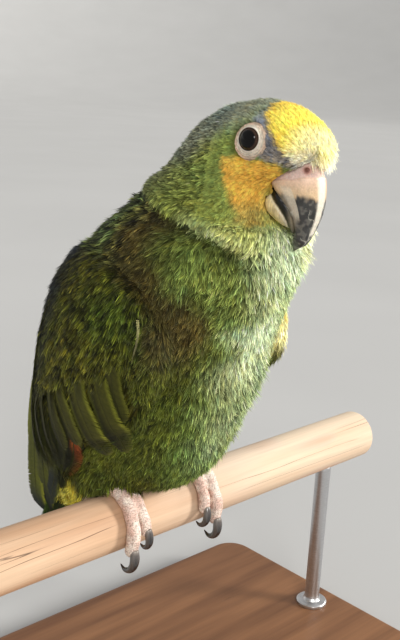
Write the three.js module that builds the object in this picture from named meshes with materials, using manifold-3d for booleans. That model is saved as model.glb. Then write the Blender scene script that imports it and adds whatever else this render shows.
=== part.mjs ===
// An orange-winged amazon, life size, gripping a short round perch on a plain display stand.
// Millimetres, +Z up. The bird faces -Y and its left side is +X. The bird is laid out round the middle
// of the perch's axis, and the whole group stands on the floor with its origin under that point.
import * as THREE from "three";
import { mergeVertices } from "three/addons/utils/BufferGeometryUtils.js";
import Module from "manifold-3d";

const wasm = await Module();
wasm.setup();

// ---- Driving dimensions ----
const GAP = 0.3; // clearance between pieces that touch
const FACET = 0.15; // how far a face may stray from the smooth form when small ones are merged
const PERCH_RADIUS = 12.5;
const PERCH_LENGTH = 296;
const PERCH_HEIGHT = 112; // of its axis above the floor
const BASE_SIZE = [280, 150, 16];
const BASE_BACK = 6; // the base's centre lies this far behind the perch
const BASE_CORNER = 14;
const BASE_BEVEL = 2;
const ROD_RADIUS = 4;
const ROD_SPREAD = 122; // of each rod from the middle of the perch
const EYE_RADIUS = 5.8;
const EYE_CENTRE = [14.6, -61.8, 167.2]; // of the left eye; the right one mirrors it
const CUTTER_SIZE = 400; // of the blocks that part the flesh, larger than the bird
const HOOD_SWELL = 1.6; // how far the hood's lower edge stands out over the mantle and throat
const HIP = 21.5; // of each foot from the midline
const TAIL_ROOT = [0, 36, 42];
const TAIL_LEAN = 18.5; // degrees from upright
const TAIL_PAIRS = 6;
// Each pair outwards is `shorter` than the last, lies `step` under it and is turned `fan` degrees more.
const TAIL_FEATHER = {
  length: 104,
  shorter: 2.4,
  width: 20,
  thick: 1.3,
  step: 0.85,
  fan: 0.9,
  spread: 1.6, // sideways from one pair to the next
};

// ---- Lofted bodies ----
// A rib is [front y, front z, back y, back z, half width]: an ellipse across the midplane.
// A body runs through its ribs from one end to the other, and both end ribs are single points.
const FLESH_RIBS = [
  [62, -25, 62, -25, 0], // end of the tail coverts
  [47, -20, 66, -8, 12],
  [32, -13, 68, 10, 22],
  [16, -1, 64, 31, 29.5], // vent and rump
  [-5, 10.5, 59, 48, 34.5],
  [-25.5, 20, 55, 65.4, 38.5],
  [-37.5, 46, 52.4, 81, 40.5], // belly and back
  [-47, 68, 47.6, 96, 41.2],
  [-56, 91, 41, 109.5, 41.2],
  [-63.6, 110.5, 31, 121, 39.8],
  [-69, 124, 17.4, 132.5, 36], // upper breast and mantle
  [-70.7, 133, 4, 142, 32.6],
  [-68.4, 139, -6.6, 151.6, 28], // throat and nape
  [-66, 143, -16.6, 163.4, 24.4],
  [-66.4, 146.4, -29, 175.8, 22], // cheeks and crown
  [-68.8, 149.8, -48.4, 182.6, 20],
  [-72.7, 153, -65.3, 180.6, 17.6], // lores and forehead
  [-75, 156, -75.8, 174.3, 13.6],
  [-77.5, 159, -82.5, 168, 8],
  [-80.3, 162.2, -80.3, 162.2, 0], // feathers over the bill's root
];
const WING_RIBS = [
  [64, -24.7, 64, -24.7, 0], // tips of the primaries
  [45.7, -15, 71, -15, 16.3],
  [26.5, 2, 74.5, 2, 25],
  [-7, 22, 73, 22, 35],
  [-32.4, 36.7, 67, 36.7, 42.2],
  [-39.6, 51, 62, 51, 46.5],
  [-46.3, 65.4, 58.2, 65.4, 48.4],
  [-51.6, 80, 55.3, 80, 49],
  [-56.4, 94, 51, 94, 48.4],
  [-61.6, 107.6, 45.7, 107.6, 46],
  [-67.4, 121, 32.8, 121, 40.7],
  [-69, 132.5, 17, 132.5, 32.6],
  [-40.6, 144, -11.8, 144, 0], // inside the neck
];
const BILL_UPPER_RIBS = [
  [-66, 158, -66, 158, 0], // inside the face
  [-64.5, 153, -70, 164, 8.4],
  [-66.2, 150, -76.4, 164, 9.4],
  [-68.4, 147.2, -80.4, 158.4, 8.8],
  [-70.9, 144.4, -81.8, 151.2, 7.5],
  [-73, 141.2, -81.2, 144.4, 6],
  [-73.2, 138, -79.4, 138.2, 4.4],
  [-71.9, 133.8, -76.3, 132.6, 2.8],
  [-70.7, 129.2, -70.7, 129.2, 0], // hooked tip
];
const BILL_LOWER_RIBS = [
  [-60, 149, -60, 149, 0], // inside the chin
  [-63, 143, -63.6, 152, 8.4],
  [-67.4, 140.4, -67, 151, 9],
  [-71.2, 139, -70, 147.5, 8],
  [-74, 139.2, -72.5, 143.6, 5.4],
  [-75, 140.7, -75, 140.7, 0], // tip, behind the hook
];

// A smooth curve through points, read off by a share of the way.
function curveThrough(points) {
  return new THREE.CatmullRomCurve3(points, false, "catmullrom", 0.5);
}

// A loft through ribs, grown outwards all round by `grow`, and by `swell(y, z)` where that is given.
// `keel` narrows or widens the back of each rib against its front, and `flat` under 1 squares its front.
function loft(ribs, { rings = 36, sides = 32, grow = 0, swell = () => 0, keel = 0, flat = 1 } = {}) {
  const front = curveThrough(ribs.map(([y, z]) => new THREE.Vector3(0, y, z)));
  const back = curveThrough(ribs.map((rib) => new THREE.Vector3(0, rib[2], rib[3])));
  const wide = curveThrough(ribs.map((rib) => new THREE.Vector3(rib[4], 0, 0)));
  const geometry = new THREE.SphereGeometry(1, sides, rings);
  const position = geometry.getAttribute("position");
  const v = new THREE.Vector3();
  for (let i = 0; i < position.count; i++) {
    v.fromBufferAttribute(position, i);
    const share = Math.min(Math.max((1 - v.y) / 2, 0), 1);
    const round = Math.hypot(v.x, v.z);
    const along = round > 1e-6 ? v.z / round : 0;
    const turned = round > 1e-6 ? v.x / round : 0;
    const across = along < 0 ? Math.sign(turned) * Math.abs(turned) ** flat : turned;
    const f = front.getPoint(share);
    const b = back.getPoint(share);
    const half = b.clone().sub(f).multiplyScalar(0.5);
    const centre = f.clone().add(half);
    const run = midline(front, back, Math.min(share + 0.004, 1));
    run.sub(midline(front, back, Math.max(share - 0.004, 0))).normalize();
    const up = new THREE.Vector3(0, -run.z, run.y);
    const width = round > 1e-6 ? wide.getPoint(share).x : 0;
    if (round <= 1e-6) half.set(0, 0, 0);
    if (up.dot(half) < 0) up.negate();
    const out = grow + swell(centre.y + half.y * along, centre.z + half.z * along);
    const p = centre.addScaledVector(half, along);
    p.x += width * across * (1 + keel * along);
    p.addScaledVector(up, out * round * along);
    p.x += out * round * across;
    p.addScaledVector(run, -out * v.y);
    position.setXYZ(i, p.x, p.y, p.z);
  }
  return solid(geometry);
}

function midline(front, back, share) {
  return front.getPoint(share).add(back.getPoint(share)).multiplyScalar(0.5);
}

// A round limb along a curve, with a radius for each of its points and closed at both ends.
function limb(points, radii, { rings = 14, sides = 10, grow = 0 } = {}) {
  const path = curveThrough(points.map((p) => new THREE.Vector3(...p)));
  const size = curveThrough(radii.map((r) => new THREE.Vector3(r, 0, 0)));
  const geometry = new THREE.SphereGeometry(1, sides, rings);
  const position = geometry.getAttribute("position");
  const v = new THREE.Vector3();
  for (let i = 0; i < position.count; i++) {
    v.fromBufferAttribute(position, i);
    const share = Math.min(Math.max((1 - v.y) / 2, 0), 1);
    const run = path.getTangent(share);
    const side = new THREE.Vector3(1, 0, 0).addScaledVector(run, -run.x).normalize();
    const up = run.clone().cross(side);
    const cap = Math.min(1, Math.hypot(v.x, v.z) * 2.2) / Math.max(Math.hypot(v.x, v.z), 1e-6);
    const radius = (size.getPoint(share).x + grow) * cap;
    const p = path.getPoint(share);
    p.addScaledVector(side, v.x * radius).addScaledVector(up, -v.z * radius);
    p.addScaledVector(run, -v.y * grow);
    position.setXYZ(i, p.x, p.y, p.z);
  }
  return solid(geometry);
}

// ---- Booleans ----
function solid(geometry) {
  const bare = geometry.index ? geometry.toNonIndexed() : geometry.clone();
  bare.deleteAttribute("normal");
  bare.deleteAttribute("uv");
  const merged = mergeVertices(bare, 1e-4);
  const triVerts = new Uint32Array(merged.index.array);
  const make = () =>
    new wasm.Manifold(
      new wasm.Mesh({ numProp: 3, vertProperties: merged.attributes.position.array, triVerts }),
    );
  const made = make();
  if (made.volume() >= 0) return made;
  for (let i = 0; i < triVerts.length; i += 3) {
    [triVerts[i + 1], triVerts[i + 2]] = [triVerts[i + 2], triVerts[i + 1]];
  }
  return make();
}

function cube(size, [x, y, z], lean) {
  return solid(new THREE.BoxGeometry(size, size, size).rotateX(lean).translate(x, y, z));
}

function ball(radius, [x, y, z], segments = 14) {
  return solid(new THREE.SphereGeometry(radius, segments, segments * 0.6).translate(x, y, z));
}

function mirrored(part) {
  return part.mirror([1, 0, 0]);
}

// The largest single body of a solid, which drops any sliver that a cut leaves.
function largest(part) {
  return part.decompose().reduce((a, b) => (a.volume() > b.volume() ? a : b));
}

// A rounded outline in the midplane, [y, z] points, extruded across from x = `from` to x = `to`.
function sideways(outline, from, to) {
  const round = new THREE.CatmullRomCurve3(
    outline.map(([y, z]) => new THREE.Vector3(y, z, 0)),
    true,
  );
  const shape = new THREE.Shape(round.getPoints(25).slice(1));
  const geometry = new THREE.ExtrudeGeometry(shape, { depth: to - from, bevelEnabled: false });
  const swap = new THREE.Matrix4().set(0, 0, 1, from, 1, 0, 0, 0, 0, 1, 0, 0, 0, 0, 0, 1);
  return solid(geometry.applyMatrix4(swap));
}

// ---- Group ----
const bird = new THREE.Group();
bird.position.z = PERCH_HEIGHT;
const stand = new THREE.Group();
const parrot = new THREE.Group();
parrot.add(bird, stand);

function addTo(group, name, part, { color, roughness = 0.8, metalness = 0 }) {
  const mesh = part.simplify(FACET).getMesh();
  const geometry = new THREE.BufferGeometry();
  geometry.setAttribute("position", new THREE.BufferAttribute(mesh.vertProperties, 3));
  geometry.setIndex(new THREE.BufferAttribute(mesh.triVerts, 1));
  geometry.computeVertexNormals();
  const made = new THREE.Mesh(geometry, new THREE.MeshStandardMaterial({ color, roughness, metalness }));
  made.name = name;
  group.add(made);
}

const HEAD_GREEN = { color: 0x6d7f4a };
const BODY_GREEN = { color: 0x5f7a38 };
const WING_GREEN = { color: 0x3f4a22 };
const TAIL_GREEN = { color: 0x55702c };
const HORN = { color: 0xb59a86, roughness: 0.45 };
const EYE_BLACK = { color: 0x14110f, roughness: 0.08 };
const SCALY_SKIN = { color: 0xb9a79c, roughness: 0.75 };
const CLAW_BLACK = { color: 0x2a2624, roughness: 0.35 };
const PERCH_WOOD = { color: 0xd9b48f, roughness: 0.65 };
const BASE_WOOD = { color: 0x6b4a32, roughness: 0.55 };
const ROD_STEEL = { color: 0xb8babd, roughness: 0.3, metalness: 1 };

// ---- Perch and feet ----
function perchRound(radius, length) {
  return solid(new THREE.CylinderGeometry(radius, radius, length, 32).rotateZ(Math.PI / 2));
}
const perch = perchRound(PERCH_RADIUS, PERCH_LENGTH);
const perchClear = perchRound(PERCH_RADIUS + GAP, PERCH_LENGTH + 2);

// A toe runs round the perch from the ankle: angles in degrees about the perch's axis, 90 on top,
// 180 in front and 0 behind. `drift` is how far it has moved sideways by its end, away from the midline,
// and `hang` is how far its last joint hangs straight down.
const TOES = [
  { name: "outer_front", from: 84, to: 204, radius: 3.3, start: 1.4, drift: 3, hang: 3.6, claw: 11.5 },
  { name: "inner_front", from: 92, to: 188, radius: 2.9, start: -2.6, drift: -4.5, hang: 0, claw: 9.5 },
  { name: "outer_back", from: 88, to: -26, radius: 3.2, start: 1.6, drift: 4.5, hang: 0, claw: 9.5 },
  { name: "inner_back", from: 80, to: -6, radius: 2.8, start: -2.6, drift: -5, hang: 0, claw: 8 },
];
const TOE_STEPS = 5;

function toePath({ from, to, radius, start, drift, hang }) {
  const reach = PERCH_RADIUS + GAP + radius * 0.86;
  return Array.from({ length: TOE_STEPS + 1 }, (_, i) => {
    const share = i / TOE_STEPS;
    const angle = THREE.MathUtils.degToRad(from + (to - from) * share);
    const side = HIP + start + (drift - start) * share;
    const down = i === TOE_STEPS ? hang : 0;
    return [side, reach * Math.cos(angle), reach * Math.sin(angle) - down];
  });
}

function toe(spec, grow = 0, fine = { rings: 9, sides: 6 }) {
  const { radius } = spec;
  const radii = [1.03, 1, 0.86, 0.9, 0.86, 0.74].map((share) => share * radius);
  return limb(toePath(spec), radii, { grow, ...fine });
}

// The claw leaves the top of the toe's last joint along its run and hooks back towards the perch.
// Each of its points is a share of its length along the run and away from the toe's back.
const CLAW_LINE = [[-0.42, 0.16], [-0.08, 0.27], [0.26, 0.27], [0.54, 0.12], [0.68, -0.14], [0.6, -0.4]];
const CLAW_SIZE = [0.5, 0.6, 0.54, 0.42, 0.27, 0.1];
function claw(spec) {
  const path = toePath(spec);
  const end = new THREE.Vector3(...path[TOE_STEPS]);
  const run = end.clone().sub(new THREE.Vector3(...path[TOE_STEPS - 1])).normalize();
  const outwards = new THREE.Vector3(0, end.y, end.z);
  outwards.addScaledVector(run, -run.dot(outwards)).normalize();
  const points = CLAW_LINE.map(([ahead, out]) => {
    const p = end.clone().addScaledVector(run, spec.claw * ahead);
    return p.addScaledVector(outwards, spec.claw * out).toArray();
  });
  return limb(points, CLAW_SIZE.map((s) => s * spec.radius), { rings: 8, sides: 6 });
}

// The scaly shank comes down out of the belly feathers onto the toes.
const ANKLE = [HIP, 2, 18.5];
const SHANK_TOP = [HIP - 2, 3, 36];
function shank(grow = 0) {
  return limb([SHANK_TOP, [HIP - 1, 3, 27], ANKLE], [4.2, 4.3, 4.6], { grow, rings: 6, sides: 8 });
}
const footLeft = largest(
  TOES.reduce((foot, spec) => foot.add(toe(spec)), shank()).subtract(perchClear),
);
const coarse = { rings: 7, sides: 5 };
const footClear = TOES.reduce((foot, spec) => foot.add(toe(spec, 5 * GAP, coarse)), shank(GAP));
const clawsLeft = TOES.map((spec) => largest(claw(spec).subtract(toe(spec, GAP)).subtract(perchClear)));

// ---- Flesh: one loft, parted into trunk, neck and head, with the shallow step of the hood's edge ----
const HOOD_EDGE = { back: [13, 139], front: [-69, 130] };
const HEAD_BASE = { back: [-6, 158.4], front: [-67.4, 139.4] };

// Height of a midplane point over the line of a cut.
function above({ back, front }, y, z) {
  const slope = (back[1] - front[1]) / (back[0] - front[0]);
  return z - (front[1] + slope * (y - front[0]));
}
function hoodSwell(y, z) {
  const low = above(HOOD_EDGE, y, z);
  const high = -above(HEAD_BASE, y, z);
  return low > 0 && high > 0 ? (HOOD_SWELL * high) / (low + high) : 0;
}
// Everything above a cut, as a large tilted block whose lower face lies on it, raised by `lift`.
function blockAbove({ back, front }, lift) {
  const lean = Math.atan2(back[1] - front[1], back[0] - front[0]);
  const y = (back[0] + front[0]) / 2 - (Math.sin(lean) * CUTTER_SIZE) / 2;
  const z = (back[1] + front[1]) / 2 + (Math.cos(lean) * CUTTER_SIZE) / 2 + lift;
  return cube(CUTTER_SIZE, [0, y, z], lean);
}

const flesh = loft(FLESH_RIBS, { rings: 34, sides: 22 });
const hooded = loft(FLESH_RIBS, { rings: 34, sides: 22, swell: hoodSwell });
const fleshClear = loft(FLESH_RIBS, { rings: 34, sides: 22, grow: GAP });

// ---- Bill and eyes ----
const BILL_SHAPE = { rings: 16, sides: 14, keel: -0.3, flat: 0.6 };
const billUpper = loft(BILL_UPPER_RIBS, BILL_SHAPE);
const billUpperClear = loft(BILL_UPPER_RIBS, { ...BILL_SHAPE, grow: 1.5 * GAP });
const billLower = largest(
  loft(BILL_LOWER_RIBS, { rings: 12, sides: 14 }).subtract(
    loft(BILL_UPPER_RIBS, { ...BILL_SHAPE, grow: 2 * GAP }),
  ),
);
const billLowerClear = loft(BILL_LOWER_RIBS, { rings: 12, sides: 14, grow: GAP });
const eyeLeft = ball(EYE_RADIUS, EYE_CENTRE);
const eyeClear = ball(EYE_RADIUS + 1.5 * GAP, EYE_CENTRE, 12);

const head = largest(
  [billUpperClear, billLowerClear, eyeClear, mirrored(eyeClear)].reduce(
    (rest, cut) => rest.subtract(cut),
    flesh.intersect(blockAbove(HEAD_BASE, GAP)),
  ),
);
const neck = largest(
  hooded
    .intersect(blockAbove(HOOD_EDGE, GAP))
    .subtract(blockAbove(HEAD_BASE, 0))
    .subtract(billLowerClear)
    .subtract(billUpperClear),
);

// ---- Tail: pairs of feathers side by side, the middle pair uppermost ----
function tailFeather(length, half, thick) {
  const shape = new THREE.Shape();
  shape.moveTo(-half * 0.4, 0);
  shape.bezierCurveTo(-half * 0.8, length * 0.3, -half, length * 0.5, -half, length * 0.84);
  shape.bezierCurveTo(-half, length * 0.96, -half * 0.4, length, 0, length);
  shape.bezierCurveTo(half * 0.4, length, half, length * 0.96, half, length * 0.84);
  shape.bezierCurveTo(half, length * 0.5, half * 0.8, length * 0.3, half * 0.4, 0);
  return new THREE.ExtrudeGeometry(shape, { depth: thick, bevelEnabled: false, curveSegments: 2 });
}
function tailPair(pair, grow) {
  const { length, shorter, width, thick, step, fan, spread } = TAIL_FEATHER;
  const made = tailFeather(length - shorter * pair + grow, width / 2 + grow, thick + 2 * grow);
  made.rotateZ(THREE.MathUtils.degToRad(-fan * (pair + 0.5)));
  made.translate(spread * (pair + 1), 0, -step * pair - grow);
  made.rotateX(THREE.MathUtils.degToRad(-90 + TAIL_LEAN));
  const left = solid(made.translate(...TAIL_ROOT));
  return left.add(mirrored(left));
}
function tailFan(grow) {
  return Array.from({ length: TAIL_PAIRS }, (_, pair) => tailPair(pair, grow)).reduce((a, b) => a.add(b));
}
const tail = largest(tailFan(0).subtract(fleshClear));

// ---- Legs ----
// The feathered thigh hangs from the flank over the ankle and the back of the perch's top.
const THIGH_LINE = [[HIP - 5, 10, 52], [HIP - 1, 8, 34], [HIP + 2, 10.5, 11]];
const THIGH_RADII = [15, 14.5, 12];
function thigh(grow) {
  return limb(THIGH_LINE, THIGH_RADII, { grow, rings: 8, sides: 10 });
}

// ---- Wings: the shell between the flesh and the outer form, within the wing's side outline ----
const WING_OUTLINE = [
  [-39, 90], // bend of the wing
  [-33, 106],
  [-18, 116],
  [10, 121],
  [40, 113],
  [75, 90], // the back edge lies outside the outer form
  [100, 30],
  [95, -20],
  [66, -30],
  [50, -17], // tips of the primaries
  [30, 4],
  [13, 23],
  [3, 37], // tips of the secondaries
  [-14, 45], // tips of the greater coverts
  [-24, 56],
  [-31, 71],
];
const WRIST = { centre: [34, -27, 87], size: [8.5, 13.5, 20] }; // the bend stands out beside the breast
const WING_PARTING = 1; // half the slit between the wings down the back
const outerForm = loft(WING_RIBS, { rings: 20, sides: 22 });
const wrist = solid(new THREE.SphereGeometry(1, 12, 8).scale(...WRIST.size).translate(...WRIST.centre));
const wingLeft = largest(
  outerForm
    .intersect(sideways(WING_OUTLINE, WING_PARTING, 60))
    .add(wrist)
    .subtract(fleshClear)
    .subtract(tailFan(GAP))
    .subtract(thigh(GAP)),
);

const hoodBlock = blockAbove(HOOD_EDGE, 0);
const legLeft = largest(thigh(0).subtract(footClear).subtract(perchClear));
const trunk = largest(
  [hoodBlock, thigh(GAP), mirrored(thigh(GAP)), perchClear, footClear, mirrored(footClear)].reduce(
    (rest, cut) => rest.subtract(cut),
    flesh,
  ),
);

addTo(bird, "head", head, HEAD_GREEN);
addTo(bird, "neck", neck, HEAD_GREEN);
addTo(bird, "trunk", trunk, BODY_GREEN);
addTo(bird, "tail", tail, TAIL_GREEN);
addTo(bird, "bill_upper", billUpper, HORN);
addTo(bird, "bill_lower", billLower, HORN);
addTo(bird, "perch", perch, PERCH_WOOD);

const PAIRED = {
  wing: [wingLeft, WING_GREEN],
  leg: [legLeft, BODY_GREEN],
  foot: [footLeft, SCALY_SKIN],
  eye: [eyeLeft, EYE_BLACK],
};
TOES.forEach(({ name }, i) => (PAIRED["claw_" + name] = [clawsLeft[i], CLAW_BLACK]));
for (const [name, [part, finish]] of Object.entries(PAIRED)) {
  addTo(bird, name + "_left", part, finish);
  addTo(bird, name + "_right", mirrored(part), finish);
}

// ---- Display stand ----
function baseSlab([width, depth, height], corner) {
  const x = width / 2 - corner;
  const y = depth / 2 - corner;
  const shape = new THREE.Shape();
  shape.absarc(x, y, corner, 0, Math.PI / 2);
  shape.absarc(-x, y, corner, Math.PI / 2, Math.PI);
  shape.absarc(-x, -y, corner, Math.PI, 1.5 * Math.PI);
  shape.absarc(x, -y, corner, 1.5 * Math.PI, 2 * Math.PI);
  const geometry = new THREE.ExtrudeGeometry(shape, {
    depth: height - 2 * BASE_BEVEL,
    bevelThickness: BASE_BEVEL,
    bevelSize: BASE_BEVEL,
    bevelOffset: -BASE_BEVEL,
    bevelSegments: 1,
    curveSegments: 3,
  });
  return solid(geometry.translate(0, BASE_BACK, BASE_BEVEL));
}
addTo(stand, "stand_base", baseSlab(BASE_SIZE, BASE_CORNER), BASE_WOOD);

const perchRaised = perchClear.translate([0, 0, PERCH_HEIGHT]);
function rod(side) {
  const bottom = BASE_SIZE[2] + GAP;
  const height = PERCH_HEIGHT - bottom;
  const geometry = new THREE.CylinderGeometry(ROD_RADIUS, ROD_RADIUS, height, 16).rotateX(Math.PI / 2);
  const made = solid(geometry.translate(side * ROD_SPREAD, 0, bottom + height / 2));
  return largest(made.subtract(perchRaised));
}
addTo(stand, "stand_rod_left", rod(1), ROD_STEEL);
addTo(stand, "stand_rod_right", rod(-1), ROD_STEEL);

export default parrot;
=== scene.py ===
"""An orange-winged amazon gripping a short round perch on a display stand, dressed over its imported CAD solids."""

import math

import bpy
import numpy as np
from mathutils import Matrix, Vector
from mathutils.bvhtree import BVHTree
from mathutils.kdtree import KDTree


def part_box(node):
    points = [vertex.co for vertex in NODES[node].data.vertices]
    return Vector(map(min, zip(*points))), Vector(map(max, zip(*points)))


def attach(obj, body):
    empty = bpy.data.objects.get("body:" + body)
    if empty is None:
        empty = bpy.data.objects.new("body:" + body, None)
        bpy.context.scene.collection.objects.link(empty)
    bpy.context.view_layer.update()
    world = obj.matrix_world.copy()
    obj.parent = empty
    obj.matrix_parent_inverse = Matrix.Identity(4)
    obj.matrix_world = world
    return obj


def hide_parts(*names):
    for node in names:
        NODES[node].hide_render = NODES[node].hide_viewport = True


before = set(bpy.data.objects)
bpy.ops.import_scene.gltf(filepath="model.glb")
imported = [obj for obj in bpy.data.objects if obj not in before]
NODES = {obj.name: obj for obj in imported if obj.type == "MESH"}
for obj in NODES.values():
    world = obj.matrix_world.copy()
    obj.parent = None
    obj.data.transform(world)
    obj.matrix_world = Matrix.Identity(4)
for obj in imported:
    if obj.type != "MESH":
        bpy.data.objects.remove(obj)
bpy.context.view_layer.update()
MM = 0.001
SIDES = {"left": 1, "right": -1}  # the bird's left is +x and it faces -y


def node_box(node):
    """A node's lowest and highest corner, and its middle."""
    low, high = (np.array(corner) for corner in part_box(node))
    return low, high, (low + high) / 2


PERCH_LOW, PERCH_HIGH, PERCH_MID = node_box("perch")
PERCH_RADIUS = (PERCH_HIGH[2] - PERCH_LOW[2]) / 2


def placed(p):
    """Places given in millimetres from the middle of the perch's axis, in metres."""
    return PERCH_MID + np.asarray(p, float) * MM


def local(p):
    """Points in metres as millimetres from the middle of the perch's axis."""
    return (p - PERCH_MID) / MM


def mirrored(p):
    """Each place, or its mirror image, on the bird's left."""
    return np.abs(p) * [1, 0, 0] + p * [0, 1, 1]


def unit(v):
    return v / np.maximum(np.linalg.norm(v, axis=-1, keepdims=True), 1e-12)


def step(a, b, v):
    """0 below a and 1 above b, smoothly."""
    t = np.clip((v - a) / (b - a), 0, 1)
    return t * t * (3 - 2 * t)


def mix(a, b, t):
    return a + (b - a) * t


def bell(v, width):
    """1 where v is 0, and less on both sides of it."""
    return np.exp(-((v / width) ** 2))


def lookup(table, v, column=1):
    """Reads a table of (v, value, ...) rows at v."""
    rows = np.array(table, float)
    return np.interp(v, rows[:, 0], rows[:, column])


def round_turn(count):
    return np.linspace(0, 2 * math.pi, count, endpoint=False)


def eased(count):
    """Shares from 0 to 1 that lie closer at both ends."""
    return (1 - np.cos(np.linspace(0, math.pi, count))) / 2


def hashed(*parts):
    """Repeatable values from 0 to 1 from whole numbers."""
    n = np.zeros(np.broadcast(*parts).shape, np.uint64)
    for i, part in enumerate(parts):
        key = np.asarray(part).astype(np.int64).astype(np.uint64) * np.uint64(0x9E3779B97F4A7C15 + 2 * i)
        n = (n ^ key) * np.uint64(0xBF58476D1CE4E5B9)
        n ^= n >> np.uint64(29)
    return (n >> np.uint64(11)).astype(float) / float(1 << 53)


def ripple(p, size, seed=0):
    """Smooth noise from -1 to 1 over places in millimetres, with lumps about `size` across."""
    q = np.asarray(p) / size
    base = np.floor(q).astype(int)
    f = q - base
    f = f * f * (3 - 2 * f)
    total = 0.0
    for corner in range(8):
        o = np.array([corner & 1, corner >> 1 & 1, corner >> 2 & 1])
        weight = np.prod(np.where(o, f, 1 - f), axis=-1)
        cell = base + o
        total = total + weight * hashed(cell[..., 0], cell[..., 1], cell[..., 2], np.full(cell.shape[:-1], seed))
    return total * 2 - 1


def ripple_of(a, b, c, seed=0, size=1.0):
    """The same noise over any three measures."""
    return ripple(np.stack(np.broadcast_arrays(a, b, c), -1), size, seed)


def curve(points, t):
    """A smooth curve through points, read at shares t of the way: the same as the solids use."""
    pts = np.asarray(points, float)
    last = len(pts) - 1
    x = np.clip(np.asarray(t, float), 0, 1) * last
    i = np.minimum(x.astype(int), last - 1)
    w = (x - i)[..., None]
    p1, p2 = pts[i], pts[i + 1]
    p0 = np.where((i > 0)[..., None], pts[np.maximum(i - 1, 0)], 2 * pts[0] - pts[1])
    p3 = np.where((i < last - 1)[..., None], pts[np.minimum(i + 2, last)], 2 * pts[-1] - pts[-2])
    t0, t1 = (p2 - p0) / 2, (p3 - p1) / 2
    return p1 + t0 * w + (3 * (p2 - p1) - 2 * t0 - t1) * w**2 + (2 * (p1 - p2) + t0 + t1) * w**3


# ---- Meshes ----
def build(name, verts, quads=(), tris=()):
    quads, tris = np.asarray(quads, int).reshape(-1, 4), np.asarray(tris, int).reshape(-1, 3)
    me = bpy.data.meshes.new(name)
    me.vertices.add(len(verts))
    me.vertices.foreach_set("co", np.asarray(verts, np.float32).ravel())
    me.loops.add(quads.size + tris.size)
    me.loops.foreach_set("vertex_index", np.concatenate([quads.ravel(), tris.ravel()]).astype(np.int32))
    me.polygons.add(len(quads) + len(tris))
    starts = np.concatenate([np.arange(len(quads)) * 4, quads.size + np.arange(len(tris)) * 3])
    me.polygons.foreach_set("loop_start", starts.astype(np.int32))
    me.update(calc_edges=True)
    me.polygons.foreach_set("use_smooth", np.full(len(me.polygons), True))
    ob = bpy.data.objects.new(name, me)
    bpy.context.scene.collection.objects.link(ob)
    return ob


def vertex_rows(ob, what):
    values = np.empty(len(ob.data.vertices) * 3, np.float32)
    ob.data.vertices.foreach_get(what, values)
    return values.reshape(-1, 3).astype(float)


def coords(ob):
    return vertex_rows(ob, "co")


def normals(ob):
    return unit(vertex_rows(ob, "normal"))


def triangles(ob):
    """The vertices of each of the mesh's triangles."""
    ob.data.calc_loop_triangles()
    tri = np.empty(len(ob.data.loop_triangles) * 3, np.int32)
    ob.data.loop_triangles.foreach_get("vertices", tri)
    return tri.reshape(-1, 3)


def move_to(ob, co):
    ob.data.vertices.foreach_set("co", np.asarray(co, np.float32).ravel())
    ob.data.update()


def paint(ob, colours):
    """Stores a colour for each vertex, which the piece's material reads."""
    rgba = np.ones((len(ob.data.vertices), 4), np.float32)
    rgba[:, :3] = np.clip(colours, 0, 1)
    ob.data.attributes.new("plumage", "FLOAT_COLOR", "POINT").data.foreach_set("color", rgba.ravel())


def measure(ob, values, name):
    """Stores a number for each vertex, which the piece's material reads."""
    layer = ob.data.attributes.new(name, "FLOAT", "POINT")
    layer.data.foreach_set("value", np.asarray(values, np.float32))


def remeshed(ob, voxel, rounds):
    """The object under one closed skin of squares of the voxel's size, smoothed a number of rounds."""
    m = ob.modifiers.new("skin", "REMESH")
    m.mode, m.voxel_size, m.use_smooth_shade = "VOXEL", voxel, True
    ob.modifiers.new("ease", "SMOOTH").iterations = rounds
    me = bpy.data.meshes.new_from_object(ob.evaluated_get(bpy.context.evaluated_depsgraph_get()))
    ob.modifiers.clear()
    old, ob.data = ob.data, me
    bpy.data.meshes.remove(old)
    return ob


def merged(parts):
    """Several (vertices, faces) as one."""
    firsts = np.cumsum([0] + [len(verts) for verts, _ in parts])
    faces = [faces + first for (_, faces), first in zip(parts, firsts)]
    return np.concatenate([verts for verts, _ in parts]), np.concatenate(faces)


def grown_nodes(nodes, grow):
    """The vertices and triangles of several CAD nodes, each grown a little so that they run into each other."""
    parts = []
    for node in nodes:
        co, tri = coords(NODES[node]), triangles(NODES[node])
        keys, where = np.unique(np.round(co, 6), axis=0, return_inverse=True)
        tri = where.reshape(-1)[tri].reshape(-1, 3)
        a, b, c = (keys[tri[:, i]] for i in range(3))
        face_normal = np.cross(b - a, c - a)
        normal = np.zeros_like(keys)
        for i in range(3):
            np.add.at(normal, tri[:, i], face_normal)
        parts.append((keys + unit(normal) * grow, tri))
    return merged(parts)


def grid_faces(rows, cols):
    """Quads over rows x cols vertices, which close round on themselves."""
    r, c = np.meshgrid(np.arange(rows - 1), np.arange(cols), indexing="ij")
    n = (c + 1) % cols
    return np.stack([r * cols + c, r * cols + n, (r + 1) * cols + n, (r + 1) * cols + c], -1).reshape(-1, 4)


def cap(centre, ring):
    """Triangles from a centre vertex to a closed ring of vertices."""
    return np.stack([np.full(len(ring), centre), ring, np.roll(ring, -1)], -1)


def finish_piece(ob, made, slot, *replaced):
    """Gives a piece its material and body, and says which CAD nodes it replaces. Its slot is not used."""
    ob.data.materials.append(made.material)
    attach(ob, "root")
    if replaced:
        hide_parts(*replaced)
    return ob


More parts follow.
